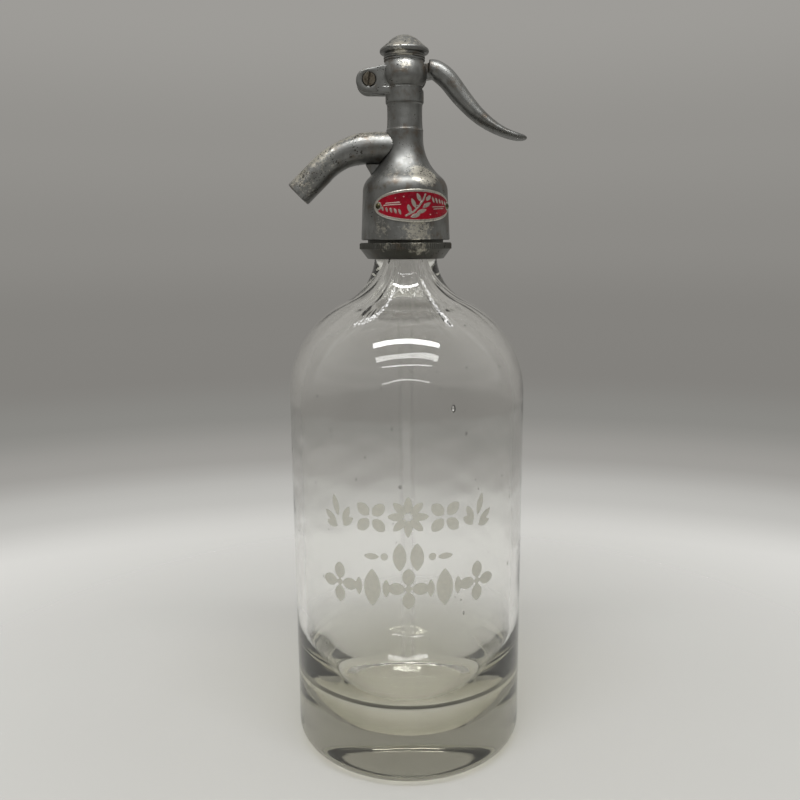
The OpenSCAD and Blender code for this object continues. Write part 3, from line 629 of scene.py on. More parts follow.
@dataclass(frozen=True)
class PalePaper(Finish):
    """Uncoated pale grey card of the floor: matt, with a fine tooth. Far out it melts away.

    Args:
        name: The material's name.
        card: Colour of the card.
        light: Colour of its lighter clouds.
        foot_shade: Colour of the shade painted under the foot, where little light gets in.
        foot: Distances from the middle between which that painted shade ends, in metres.
        melt: Distances from the middle between which the card melts into the backdrop, in metres.
        behind: The same behind the glass, where it is seen as bright as the backdrop.
    """

    name: str = "pale_paper_floor"
    card: str = "#bdbcb8"
    light: str = "#c2c1bd"
    foot_shade: str = "#75736b"
    foot: Point = (0.05, 0.036)
    melt: Point = (0.06, 0.4)
    behind: Point = (0.04, 0.2)

    def surface(self, tree: NodeTree, where: NodeSocket) -> Node:
        """Adds the surface's nodes.

        Args:
            tree: The material's node tree.
            where: Coordinates on the object, in metres.

        Returns:
            The surface's shader.
        """
        colour = add(tree, BLEND, add(tree, NOISE, where, per(160), 2, 0.55), self.card, self.light)
        far = add(tree, "VectorMath.LENGTH", where)
        # Painted shade under the bottle's foot.
        foot_shade = add(tree, TIMES, add(tree, RISE, far, *self.foot), 0.2)
        colour = add(tree, BLEND, foot_shade, colour, self.foot_shade)
        tooth = add(tree, TIMES, add(tree, NOISE, where, per(0.8), 2, 0.55), 0.02)
        bump = add(tree, "Bump", 0.4, MM, Height=tooth)
        paper = add(tree, "BsdfPrincipled", Base_Color=colour, Roughness=0.85, Normal=bump)
        through = add(tree, TIMES, add(tree, "LightPath").outputs["Is Transmission Ray"], 0.72)
        through = add(tree, TIMES, through, add(tree, RISE, far, *self.behind))
        fade = add(tree, "Math.MAXIMUM", add(tree, RISE, far, *self.melt), through)
        return add(tree, "MixShader", fade, paper, add(tree, "BsdfTransparent"))


# Shapes ------------------------------------------------------------------------------------------


def mesh_object(name: str, points: Sequence[Sequence[float]], faces: Sequence[Sequence[int]]) -> Object:
    """Makes a smooth-shaded mesh object.

    Args:
        name: The object's name.
        points: One row for each vertex, in millimetres.
        faces: Vertex numbers of each face.

    Returns:
        The object, linked to the scene.
    """
    mesh = bpy.data.meshes.new(name)
    mesh.from_pydata([tuple(p) for p in np.array(points) * MM], [], faces)
    return linked(name, mesh)


def linked(name: str, mesh: Mesh) -> Object:
    """Makes an object of a mesh, shades it smooth and links it to the scene.

    Args:
        name: The object's name.
        mesh: Its mesh.

    Returns:
        The object.
    """
    mesh.polygons.foreach_set("use_smooth", [True] * len(mesh.polygons))
    mesh.update()
    piece = bpy.data.objects.new(name, mesh)
    bpy.context.scene.collection.objects.link(piece)
    return piece


def weld(mesh: Mesh, outwards: bool = False) -> None:
    """Joins the vertices that lie on each other.

    Args:
        mesh: The mesh.
        outwards: Whether its faces are turned outwards too.
    """
    work = bmesh.new()
    work.from_mesh(mesh)
    bmesh.ops.remove_doubles(work, verts=work.verts, dist=1e-7)
    if outwards:
        bmesh.ops.recalc_face_normals(work, faces=work.faces)
    work.to_mesh(mesh)
    work.free()


def give_field(piece: Object, name: str, values: np.ndarray) -> None:
    """Stores one number for each vertex, for the material to read.

    Args:
        piece: The mesh object.
        name: The attribute's name.
        values: One number for each vertex.
    """
    attribute = piece.data.attributes.new(name, "FLOAT", "POINT")
    attribute.data.foreach_set("value", values.astype(np.float32))


def bands(rows: int, columns: int) -> list[tuple[int, ...]]:
    """Quads between the rings of a grid of points.

    Args:
        rows: How many rings.
        columns: How many points in each.

    Returns:
        The faces.
    """
    rings = [(i * columns, j, (j + 1) % columns) for i in range(rows - 1) for j in range(columns)]
    return [(a + j, a + k, a + columns + k, a + columns + j) for a, j, k in rings]


def arc(centre: Point, radius: float, start: float, end: float, step: float) -> np.ndarray:
    """Points along an arc in the plane of a profile.

    Args:
        centre: Its middle, as radius and height.
        radius: Its radius.
        start: First angle in degrees.
        end: Last angle in degrees.
        step: Longest gap between points, in millimetres.

    Returns:
        The points, first and last included.
    """
    count = max(2, math.ceil(math.radians(abs(end - start)) * radius / step))
    angles = np.radians(np.linspace(start, end, count + 1))
    return np.column_stack([centre[0] + radius * np.cos(angles), centre[1] + radius * np.sin(angles)])


def run(first: Sequence[float], last: Sequence[float], step: float) -> np.ndarray:
    """Points along a straight line of a profile, without its first one.

    Args:
        first: Where it starts.
        last: Where it ends.
        step: Longest gap between points, in millimetres.

    Returns:
        The points.
    """
    first, last = np.array(first, float), np.array(last, float)
    count = max(1, math.ceil(np.linalg.norm(last - first) / step))
    return first + (last - first) * (np.arange(1, count + 1) / count)[:, None]


def between(value: np.ndarray, low: float, high: float) -> np.ndarray:
    """How far a value has come on its way from low to high, held between 0 and 1."""
    return np.clip((value - low) / (high - low), 0, 1)


def from_front(angle: np.ndarray) -> np.ndarray:
    """Brings angles round the axis between half a turn back and half a turn on from the front."""
    return (angle + math.pi) % (2 * math.pi) - math.pi


def waviness(theta: np.ndarray, z: np.ndarray, size: float, seed: int) -> np.ndarray:
    """A smooth, repeatable unevenness over a round surface, about 1 high.

    Args:
        theta: Angles round the axis, in radians.
        z: Heights in millimetres.
        size: Length of the waves in millimetres, on a surface of about 50 mm radius.
        seed: Chooses the pattern.

    Returns:
        The unevenness at each point.
    """
    waves, radius = 14, 50
    rng = np.random.default_rng(seed)
    total = np.zeros_like(z, dtype=float)
    for _ in range(waves):
        turns = rng.integers(0, max(2, round(2 * math.pi * radius / size)))
        rise = rng.normal(0, 2 * math.pi / size)
        total += np.sin(turns * theta + rise * z + rng.uniform(0, 2 * math.pi))
    return total / math.sqrt(waves)


def away(at: Point, turn: float, far: float) -> Point:
    """The point at a distance from another, in a direction in degrees, 0 for up."""
    angle = math.radians(turn)
    return at[0] - far * math.sin(angle), at[1] + far * math.cos(angle)


class Stencil:
    """Flat shapes, as the depth of each place below the nearest edge: negative outside them.

    Args:
        u: Distances across, in millimetres.
        v: Distances up, in millimetres.
    """

    def __init__(self, u: np.ndarray, v: np.ndarray) -> None:
        """Starts without shapes."""
        self.u, self.v = u, v
        self.depth = np.full(np.shape(u), -np.inf)

    def cover(self, depth: np.ndarray) -> None:
        """Adds a shape that is given by its depth."""
        self.depth = np.maximum(self.depth, depth)

    def disc(self, at: Point, radius: float) -> None:
        """Adds a disc."""
        self.cover(radius - np.hypot(self.u - at[0], self.v - at[1]))

    def leaf(self, at: Point, turn: float, long: float, wide: float) -> None:
        """Adds a pointed leaf.

        Args:
            at: Its middle.
            turn: Its angle in degrees, 0 for one that points up.
            long: Its length.
            wide: Its width.
        """
        angle = math.radians(turn)
        across = (self.u - at[0]) * math.cos(angle) + (self.v - at[1]) * math.sin(angle)
        along = -(self.u - at[0]) * math.sin(angle) + (self.v - at[1]) * math.cos(angle)
        radius = (long * long + wide * wide) / (4 * wide)
        self.cover(radius - np.hypot(np.abs(across) + radius - wide / 2, along))

    def path(self, points: Sequence[Point], wide: float) -> None:
        """Adds a line of straight bars with round ends.

        Args:
            points: Its ends and corners.
            wide: Its width.
        """
        for (u, v), last in zip(points, points[1:]):
            du, dv = last[0] - u, last[1] - v
            t = np.clip(((self.u - u) * du + (self.v - v) * dv) / (du * du + dv * dv), 0, 1)
            self.cover(wide / 2 - np.hypot(self.u - u - t * du, self.v - v - t * dv))

    def flower(self, at: Point, petals: int, size: float, wide: float, first: float = 0.0) -> None:
        """Adds a ring of petals.

        Args:
            at: Its middle.
            petals: How many petals.
            size: Its radius.
            wide: A petal's width.
            first: Angle of the first petal in degrees.
        """
        for k in range(petals):
            turn = first + 360 * k / petals
            self.leaf(away(at, turn, size * 0.56), turn, size * 0.82, wide)

    def sprig(self, at: Point, lean: float, size: float) -> None:
        """Adds five leaves that spread from one foot.

        Args:
            at: Its middle.
            lean: Its angle in degrees.
            size: Its height.
        """
        foot = away(at, lean, -size * 0.36)
        for turn, reach, long in ((0, 0.62, 0.62), (38, 0.42, 0.52), (64, 0.3, 0.4)):
            for side in (lean + turn, lean - turn):
                self.leaf(away(foot, side, size * reach), side, size * long, size * 0.2)


def settle(piece: Object) -> Mesh:
    """Turns a piece's modifiers into its own mesh.

    Args:
        piece: The piece.

    Returns:
        Its new mesh.
    """
    graph = bpy.context.evaluated_depsgraph_get()
    mesh = bpy.data.meshes.new_from_object(piece.evaluated_get(graph))
    piece.modifiers.clear()
    old, piece.data = piece.data, mesh
    bpy.data.meshes.remove(old)
    return mesh


def soften(piece: Object, rounds: int, group: str = "") -> Mesh:
    """Smooths a piece.

    Args:
        piece: The piece.
        rounds: How many times it is smoothed.
        group: The vertex group that says where, or nothing for all of it.

    Returns:
        Its new mesh.
    """
    smooth = piece.modifiers.new("soften", "SMOOTH")
    smooth.factor = 0.5
    smooth.iterations = rounds
    smooth.vertex_group = group
    return settle(piece)


def casting_copy(node: str, voxel: float, rounds: int, softer: Optional[tuple[float, int]] = None) -> Object:
    """Copies a solid as a fine skin with softly rounded edges and fillets, as a sand casting has.

    Args:
        node: The solid's name.
        voxel: Size of the skin's cells in millimetres.
        rounds: How many times the skin is smoothed.
        softer: A place along X in millimetres, and how many more times the skin before it is smoothed.

    Returns:
        The new piece, named for the solid.
    """
    piece = linked(node + "_skin", bpy.data.objects[node].data.copy())
    weld(piece.data)
    remesh = piece.modifiers.new("skin", "REMESH")
    remesh.mode = "VOXEL"
    remesh.voxel_size = voxel * MM
    skin = soften(piece, rounds)
    if softer:
        limit, more = softer
        # The extra smoothing comes in over 1.2 mm.
        blend = 1.2 * MM
        group = piece.vertex_groups.new(name="softer")
        for vertex in skin.vertices:
            weight = (limit * MM - vertex.co.x) / blend
            if weight > 0:
                group.add([vertex.index], min(1.0, weight), "REPLACE")
        skin = soften(piece, more, group.name)
        piece.vertex_groups.clear()
    skin.polygons.foreach_set("use_smooth", [True] * len(skin.polygons))
    return piece


def place(piece: Object, body: Body, finish: Material, stands_for: str) -> None:
    """Gives a new piece its finish, its body and the solid that it stands for.

    Args:
        piece: The piece.
        body: The body that it rides on.
        finish: Its material.
        stands_for: The solid that it hides.
    """
    piece.data.materials.clear()
    piece.data.materials.append(finish)
    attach(piece, body.value)
    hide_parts(stands_for)
    LOG.info("%s: %d faces, rides on %s", piece.name, len(piece.data.polygons), body.value)


# Sub-assemblies ----------------------------------------------------------------------------------


@dataclass
class Seed:
    """A gas bubble in the glass.

    Args:
        angle: Degrees from the front towards the lever.
        z: Height in millimetres.
        depth: Depth below the outer face in millimetres.
        wide: Its width in millimetres.
        tall: Its height in millimetres.
    """

    angle: float
    z: float
    depth: float
    wide: float
    tall: float


@dataclass
class GlassBottle:
    """The one-litre bottle: a thick-floored glass body with a round shoulder and a narrow neck.

    The outside is even and the inside wavy, as the mould gives it outside and the breath inside.
    """

    body_r: float = 50.0
    heel_r: float = 6.5
    hollow_r: float = 37.0
    hollow_h: float = 1.6
    shoulder_z: float = 155.0
    shoulder_r: float = 43.8
    neck_r: float = 12.9
    neck_curve_r: float = 21.7
    wall: float = 4.2
    floor: float = 14.0
    floor_r: float = 24.0
    fillet_r: float = 5.0
    bowl_slope: float = 40.0
    bore_r: float = 5.8
    inner_shoulder_r: float = 41.1
    inner_curve_r: float = 28.8
    groove_r: float = 12.0
    bead_r: float = 13.9
    bead_round: float = 1.4
    groove_z: float = 212.823
    bead_z: float = 217.023
    lip_z: float = 223.423
    # Heights of the etched zone, and how far the fine columns of the mesh reach from the front.
    zone: Point = (76.0, 126.0)
    front: float = 64.0
    # Relief of the folds in the neck, and of the two wrinkled creases inside it, which lie at an angle
    # on each side of the front and reach a few degrees to each side of it.
    pleat: float = 0.32
    wrinkle: float = 0.2
    wrinkle_at: float = 31.0
    wrinkle_reach: float = 9.0
    # Two creases on the shoulder, where white marks are painted as the lamp's glitter, as degrees from
    # the front and heights, with their width. A degree is about 0.45 mm wide there.
    creases: tuple[tuple[Point, ...], ...] = (
        ((-16, 200), (-18, 196), (-20, 192), (-26, 189.5), (-34, 187.5)),
        ((25, 203), (28, 198), (26, 193), (28, 187.5)),
    )
    crease_width: float = 6.0
    degree: float = 0.45
    seeds: list[Seed] = field(
        default_factory=lambda: [
            Seed(21, 157, 2.2, 1.8, 3.2), Seed(-3.5, 127.5, 1.6, 1.3, 1.4), Seed(-34, 190, 2.5, 0.9, 1.3),
            Seed(-7, 150, 1.8, 0.7, 1.2), Seed(40, 186, 2, 0.8, 0.6), Seed(-46, 160, 2, 0.7, 1.1),
        ]
    )

    @staticmethod
    def _neck_curve(ring: Point, shoulder_r: float, neck_r: float, curve_r: float) -> tuple[Point, float]:
        """Where the neck's curve runs smoothly out of the shoulder.

        Args:
            ring: The centre of the shoulder's arc, as radius and height.
            shoulder_r: That arc's radius.
            neck_r: The neck's radius.
            curve_r: The radius of the curve between them.

        Returns:
            The curve's centre, and the angle in degrees at which the two arcs meet.
        """
        x = neck_r + curve_r
        z = ring[1] + math.sqrt((shoulder_r + curve_r) ** 2 - (x - ring[0]) ** 2)
        return (x, z), math.degrees(math.atan2(z - ring[1], x - ring[0]))

    def outside(self) -> np.ndarray:
        """The outer profile from the middle of the foot to the lip.

        Returns:
            Points as radius and height.
        """
        ring = (self.body_r - self.shoulder_r, self.shoulder_z)
        curve, lean = self._neck_curve(ring, self.shoulder_r, self.neck_r, self.neck_curve_r)
        out = np.linspace(0, self.hollow_r, 28)
        dished = np.column_stack([out, self.hollow_h / 2 * (1 + np.cos(np.pi * out / self.hollow_r))])
        heel = arc((self.body_r - self.heel_r, self.heel_r), self.heel_r, -90, 0, 0.6)
        shoulder = arc(ring, self.shoulder_r, 0, lean, 1.0)
        throat = arc(curve, self.neck_curve_r, 180 + lean, 185, 0.8)
        low, high = ((self.body_r, z) for z in self.zone)
        neck, groove = (self.neck_r, self.groove_z), (self.groove_r, self.groove_z)
        bead, rim = self.bead_r - self.bead_round, self.bead_round
        return np.vstack([
            dished, run(dished[-1], heel[0], 1.6), heel[1:], run(heel[-1], low, 1.6), run(low, high, 0.5),
            run(high, shoulder[0], 1.2), shoulder[1:], throat[1:], run(throat[-1], neck, 0.8),
            run(neck, groove, 0.5), run(groove, (self.groove_r, self.bead_z), 0.8),
            arc((bead, self.bead_z + rim), rim, -60, 0, 0.4), arc((bead, self.lip_z - rim), rim, 0, 90, 0.4),
        ])

    def inside(self) -> np.ndarray:
        """The inner profile from the lip down to the middle of the floor.

        Returns:
            Points as radius and height.
        """
        inner_r, rim = self.body_r - self.wall, self.bead_round
        ring = (inner_r - self.inner_shoulder_r, self.shoulder_z - self.wall)
        curve, lean = self._neck_curve(ring, self.inner_shoulder_r, self.bore_r, self.inner_curve_r)
        mouth = arc((self.bore_r + rim, self.lip_z - rim), rim, 90, 180, 0.4)
        throat = arc(curve, self.inner_curve_r, 180, 180 + lean, 0.7)
        shoulder = arc(ring, self.inner_shoulder_r, lean, 0, 1.0)
        # A flat floor, a small fillet round it and a wide bowl that runs up into the wall.
        slope, round_r = math.radians(self.bowl_slope), self.fillet_r
        fillet = arc((self.floor_r, self.floor + round_r), round_r, self.bowl_slope - 90, -90, 0.5)
        bowl_r = (inner_r - fillet[0, 0]) / (1 - math.sin(slope))
        bowl_z = fillet[0, 1] + bowl_r * math.cos(slope)
        bowl = arc((inner_r - bowl_r, bowl_z), bowl_r, 0, self.bowl_slope - 90, 0.9)
        return np.vstack([
            mouth, run(mouth[-1], throat[0], 0.8), throat[1:], shoulder[1:],
            run(shoulder[-1], bowl[0], 1.6), bowl[1:], fillet[1:], run(fillet[-1], (0.0, self.floor), 1.6),
        ])

    def etching(self, u: np.ndarray, v: np.ndarray) -> np.ndarray:
        """Depth inside the etched shapes: sprigs, flowers and a star in two rows, with drops between.

        Args:
            u: Distances round the outside from the front, in millimetres.
            v: Heights in millimetres.

        Returns:
            Depth below the nearest edge, in millimetres.
        """
        sheet = Stencil(u, v)
        sheet.flower((0, 115.8), 8, 8.4, 3.2)
        for side in (-1, 1):
            sheet.sprig((side * 29.0, 114.6), -side * 14, 14.5)
            sheet.flower((side * 14.6, 115.2), 4, 7.8, 4.6, 45)
            sheet.leaf((side * 3.4, 99.6), 0, 11.5, 5.4)
            sheet.disc((side * 9.4, 99.6), 1.5)
            sheet.leaf((side * 14.6, 99.4), 90, 6.4, 2.6)
        for k in range(-2, 3):
            x, z = k * 14.4, 86.6
            if k % 2:
                sheet.leaf((x, z), 0, 15.5, 6.8)
                sheet.leaf((x + 5.6, z), 0, 7.6, 2.9)
                sheet.leaf((x - 5.6, z), 0, 7.6, 2.9)
            else:
                sheet.flower((x, z), 4, 8.6, 5.0)
                sheet.disc((x, z), 1.3)
        return sheet.depth

    def build(self, glass: Material) -> None:
        """Builds the bottle with its waves, its seeds and the etched shapes' field.

        Args:
            glass: Its material.
        """
        outer, inner = self.outside(), self.inside()
        profile = np.vstack([outer[1:], inner[:-1]])
        rows, shell = len(profile), len(outer) - 1
        # The front carries the etching and has columns twice as fine as the back.
        fine = np.linspace(-self.front, self.front, 225)
        coarse = np.linspace(self.front, 360 - self.front, 120)[1:-1]
        theta = np.radians(np.concatenate([fine, coarse]))
        columns = len(theta)
        angle = np.repeat(theta[None, :], rows, 0)
        r, z = (np.repeat(line[:, None], columns, 1) for line in profile.T)
        r, z = self._wave(r, z, angle, shell)
        points = np.stack([r * np.sin(angle), -r * np.cos(angle), z], axis=-1).reshape(-1, 3)
        foot, floor, last = len(points), len(points) + 1, (rows - 1) * columns
        faces = bands(rows, columns)
        for j in range(columns):
            k = (j + 1) % columns
            faces += [(foot, k, j), (floor, last + j, last + k)]
        bubbles, bubble_faces = self._bubbles(floor + 1)
        points = np.vstack([points, (0, 0, outer[0, 1]), (0, 0, inner[-1, 1]), bubbles])
        depth = np.clip(self.etching(from_front(angle) * self.body_r, z), FAR_OUT, -FAR_OUT)
        # The creases' field says where white glitter is painted on the outside.
        crease = Stencil(np.degrees(from_front(angle)) * self.degree, z)
        for path in self.creases:
            crease.path([(self.degree * turn, level) for turn, level in path], self.crease_width)
        wrinkle = between(crease.depth, 0, 0.4 * self.crease_width)
        depth[shell:], wrinkle[shell:] = FAR_OUT, 0.0
        extra = len(points) - foot
        bottle = mesh_object("glass_bottle_clear", points, faces + bubble_faces)
        give_field(bottle, "stencil", np.append(depth, np.full(extra, FAR_OUT)))
        give_field(bottle, "wrinkle", np.append(wrinkle, np.zeros(extra)))
        place(bottle, Body.BOTTLE, glass, "glass_bottle")

    def _wave(
        self, r: np.ndarray, z: np.ndarray, angle: np.ndarray, shell: int
    ) -> tuple[np.ndarray, np.ndarray]:
        """Makes the inside uneven, and the outside of the body a little.

        Args:
            r: Radii of the grid.
            z: Heights of the grid.
            angle: Angles of the grid.
            shell: How many rows belong to the outside.

        Returns:
            The new radii and heights.
        """
        r, z = r.copy(), z.copy()
        # The heel, the neck and the rim stay even, and no wave stands proud of the drawn radius.
        zo, ao = z[:shell], angle[:shell]
        calm = between(zo, 8, 22) * between(-zo, -205, -190)
        r[:shell] = 0.9998 * r[:shell] - calm * (0.03 + 0.03 * np.clip(waviness(ao, zo, 34, 3), -1, 1))
        zi, ai = z[shell:], angle[shell:]
        calm = between(-zi, -208, -188) * between(r[shell:], 0, 20) * between(zi, 40, 70)
        wave = 0.09 * waviness(ai, zi, 60, 11) + 0.018 * waviness(ai, zi, 20, 23)
        shoulder = between(zi, 150, 180) * 0.05 * waviness(ai, zi, 26, 31)
        r[shell:] += calm * np.clip(wave + shoulder, -0.4, 0.4)
        r[shell:] += self._pleats(ai, zi)
        return r, z

    def _pleats(self, angle: np.ndarray, z: np.ndarray) -> np.ndarray:
        """Folds inside the neck and the shoulder, where the hot glass was drawn together.

        Args:
            angle: Angles of the inner grid.
            z: Heights of the inner grid.

        Returns:
            How far each point moves out, in millimetres.
        """
        rng = np.random.default_rng(5)
        total = np.zeros_like(z)
        for turns in (3, 5, 7, 9, 12, 16, 21):
            drift = 0.05 * rng.normal() * (z - 190)
            total += np.sin(turns * angle + rng.uniform(0, 2 * math.pi) + drift) * (6 / turns) ** 0.6
        reach = between(z, 178, 200) * between(-z, -211, -204)
        folds = self.pleat * reach * np.clip(np.abs(total) - 0.9, -1.2, 1.6)
        # The two wrinkled creases run down beside the neck and glitter under the lamp.
        off = np.abs(np.abs(np.degrees(from_front(angle))) - self.wrinkle_at)
        crease = between(-off, -self.wrinkle_reach, 0) * between(z, 183, 186) * between(-z, -200, -197)
        return folds + self.wrinkle * crease * waviness(angle, z, 2.9, 41)

    def _bubbles(self, start: int) -> tuple[np.ndarray, list[tuple[int, ...]]]:
        """Seeds in the glass, each a small closed skin whose faces look inwards.

        Args:
            start: Number of the first vertex.

        Returns:
            Their points and faces.
        """
        in_wall, in_floor = 84, 10
        rng = np.random.default_rng(7)
        seeds = list(self.seeds)
        for _ in range(in_wall):
            size = 0.35 + 0.55 * rng.random() ** 2
            angle, z, depth = rng.uniform(-180, 180), rng.uniform(20, 178), rng.uniform(0.8, 3.2)
            seeds.append(Seed(angle, z, depth, size, size * rng.uniform(1, 2)))
        for _ in range(in_floor):
            seeds.append(Seed(rng.uniform(-70, 70), rng.uniform(4, 11), rng.uniform(3, 20), 0.6, 0.6))
        ball = bmesh.new()
        bmesh.ops.create_icosphere(ball, subdivisions=2, radius=0.5)
        unit = np.array([v.co for v in ball.verts])
        triangles = [tuple(v.index for v in f.verts)[::-1] for f in ball.faces]
        ball.free()
        points, faces = [], []
        for seed in seeds:
            r = self._radius(seed.z) - seed.depth
            sine, cosine = math.sin(math.radians(seed.angle)), math.cos(math.radians(seed.angle))
            shape = unit * (seed.wide, min(seed.wide, 1.4), seed.tall)
            turn = np.array([[cosine, -sine, 0], [sine, cosine, 0], [0, 0, 1]])
            faces += [tuple(start + i for i in t) for t in triangles]
            points.append(shape @ turn.T + (r * sine, -r * cosine, seed.z))
            start += len(unit)
        return np.vstack(points), faces

    def _radius(self, z: float) -> float:
        """Outer radius at a height of the body or the shoulder.

        Args:
            z: The height in millimetres.

        Returns:
            The radius in millimetres.
        """
        above = max(0.0, z - self.shoulder_z)
        return self.body_r - self.shoulder_r + math.sqrt(self.shoulder_r**2 - above**2)


@dataclass
class NamePlate:
    """The oval name plate on the skirt: a raised rim and a plain sprig between lines, all generic."""

    length: float = 37.0
    height: float = 13.0
    thickness: float = 0.5
    middle_z: float = 233.023
    turn: float = 15.0
    skirt_r: float = 17.7926
    slope: float = -0.047
    gap: float = 0.01
    rim: float = 1.15
    rivet_in: float = 2.4
    edge_round: float = 0.35
    stem: tuple[Point, ...] = ((-4.6, -3.9), (-1.6, -2.4), (0.6, -0.2), (2.4, 2.2), (3.4, 4.4))
    # The sprig's leaves: middle, angle in degrees and length.
    leaves: tuple[tuple[Point, float, float], ...] = (
        ((-3.2, -1.2), 20, 3.4), ((-0.9, -3.9), -74, 3.6), ((-1.5, 0.9), 24, 3.8), ((1.6, -2.2), -70, 4.0),
        ((0.6, 3.1), 26, 3.4), ((3.8, 0.2), -62, 3.8), ((4.6, 2.9), -50, 2.6),
    )

    def ornament(self, u: np.ndarray, v: np.ndarray) -> np.ndarray:
        """Height map of the bare metal: the rim, the rivets' bosses, a sprig and paired lines.

        Args:
            u: Distances round the skirt from the plate's middle, in millimetres.
            v: Distances above its middle, in millimetres.

        Returns:
            Depth below the nearest edge, in millimetres.
        """
        a, b = self.length / 2, self.height / 2
        level = np.hypot(u / a, v / b)
        grade = np.hypot(u / (a * a), v / (b * b)) + 1e-9
        sheet = Stencil(u, v)
        sheet.cover(self.rim - (1 - level) * level / grade)
        sheet.path(self.stem, 0.72)
        for at, turn, long in self.leaves:
            sheet.leaf(at, turn, long * 1.12, 1.55)
        for side in (-1, 1):
            sheet.disc((side * (a - self.rivet_in), 0), 1.7)
            sheet.path([(side * 6.4, -side * 0.5), (side * 13.6, -side * 0.2)], 0.36)
            sheet.path([(side * 6.9, -side * 1.3), (side * 12.6, -side * 0.95)], 0.36)
            sheet.disc((side * 5.4, -side * 3.4), 0.34)
            sheet.disc((side * 8.6, -side * 2.9), 0.3)
            for k in range(5):
                sheet.leaf((side * (6.9 + 1.75 * k), side * (2.3 - 0.3 * k)), 22, 2.9 - 0.2 * k, 0.95)
        return sheet.depth

    def build(self, enamel: Material) -> None:
        """Builds the plate as a domed sheet with rolled edges, laid round the skirt.

        Args:
            enamel: Its material.
        """
        rings, spokes = 34, 160
        a, b = self.length / 2, self.height / 2
        share = 1 - (1 - np.arange(rings + 1) / rings) ** 1.15
        rise = self.thickness * (1 - 0.7 * between(-(1 - share) * b, -self.edge_round, 0) ** 2)
        # One more ring brings the edge down to the skirt.
        share, rise = np.append(share, 1.0)[:, None], np.append(rise, 0.0)[:, None]
        angle = 2 * math.pi * np.arange(spokes) / spokes
        u, v = a * share * np.cos(angle), b * share * np.sin(angle)
        r = self.skirt_r + self.slope * v + rise + self.gap
        round_skirt = u / self.skirt_r + math.radians(self.turn)
        points = np.stack([r * np.sin(round_skirt), -r * np.cos(round_skirt), self.middle_z + v], axis=-1)
        back = tuple(range((rings + 1) * spokes, (rings + 2) * spokes))
        plate = mesh_object("name_plate", points.reshape(-1, 3), bands(rings + 2, spokes) + [back])
        give_field(plate, "stencil", np.clip(self.ornament(u, v), -3, 3).reshape(-1))
        weld(plate.data, outwards=True)
        place(plate, Body.BOTTLE, enamel, "badge_plate")


@dataclass
class HeadCastings:
    """The head, its soldered spout, the screw cap and the lever, all cast in white metal."""

    lines: tuple[Point, ...] = ((263.6, 0.16), (273.6, 0.14), (279.9, -0.16), (289.8, -0.3))
    # The pivot ear stands out beyond this place along X, and its edges are rounder than the head's.
    ear_x: float = -10.0

    def build(self) -> None:
        """Builds the four castings' skins and dresses them."""
        head = CastAlloy(
            name="tarnished_white_metal_head",
            spots=(
                WearAndSheenSpot((7.5, -12.0, 244.5), 8.0, 1.0), WearAndSheenSpot((5.0, -17.5, 223.5), 11.0, 0.7),
                WearAndSheenSpot((-9.0, -14.5, 224.5), 8.0, 0.45), WearAndSheenSpot((0.5, -8.6, 287.0), 5.0, 0.55),
                WearAndSheenSpot((-4.0, -12.5, 243.0), 5.0, 0.35), WearAndSheenSpot((1.0, -7.5, 252.0), 4.0, 0.35),
            ),
            top_wear_and_sheen=0.35, pits=0.45, rough=0.43, lines=self.lines,
        )
        spout = CastAlloy(
            name="tarnished_white_metal_spout", top_wear_and_sheen=0.7, pits=0.7, seed=0.31,
            spots=(WearAndSheenSpot((-33, -4, 251), 11, 0.4), WearAndSheenSpot((-41, -4, 242), 8, 0.5)),
        )
        cap = CastAlloy(
            name="tarnished_white_metal_cap", seed=0.53, spots=(WearAndSheenSpot((-2, -8.5, 291), 7, 0.7),)
        )
        lever = CastAlloy(
            name="tarnished_white_metal_lever", top_wear_and_sheen=0.1, pits=0.1, rough=0.42, dents=0.02, seed=0.77,
            spots=(WearAndSheenSpot((27, -4, 275), 6, 0.3), WearAndSheenSpot((12, -3, 288), 3, 0.3)),
        )
        for node, finish, voxel, rounds, softer, body in (
            ("head_body", head, 0.3, 7, (self.ear_x, 22), Body.BOTTLE),
            ("spout", spout, 0.28, 9, None, Body.BOTTLE),
            ("head_cap", cap, 0.22, 5, None, Body.BOTTLE),
            ("lever", lever, 0.25, 14, None, Body.LEVER),
        ):
            place(casting_copy(node, voxel, rounds, softer), body, finish.build(), node)


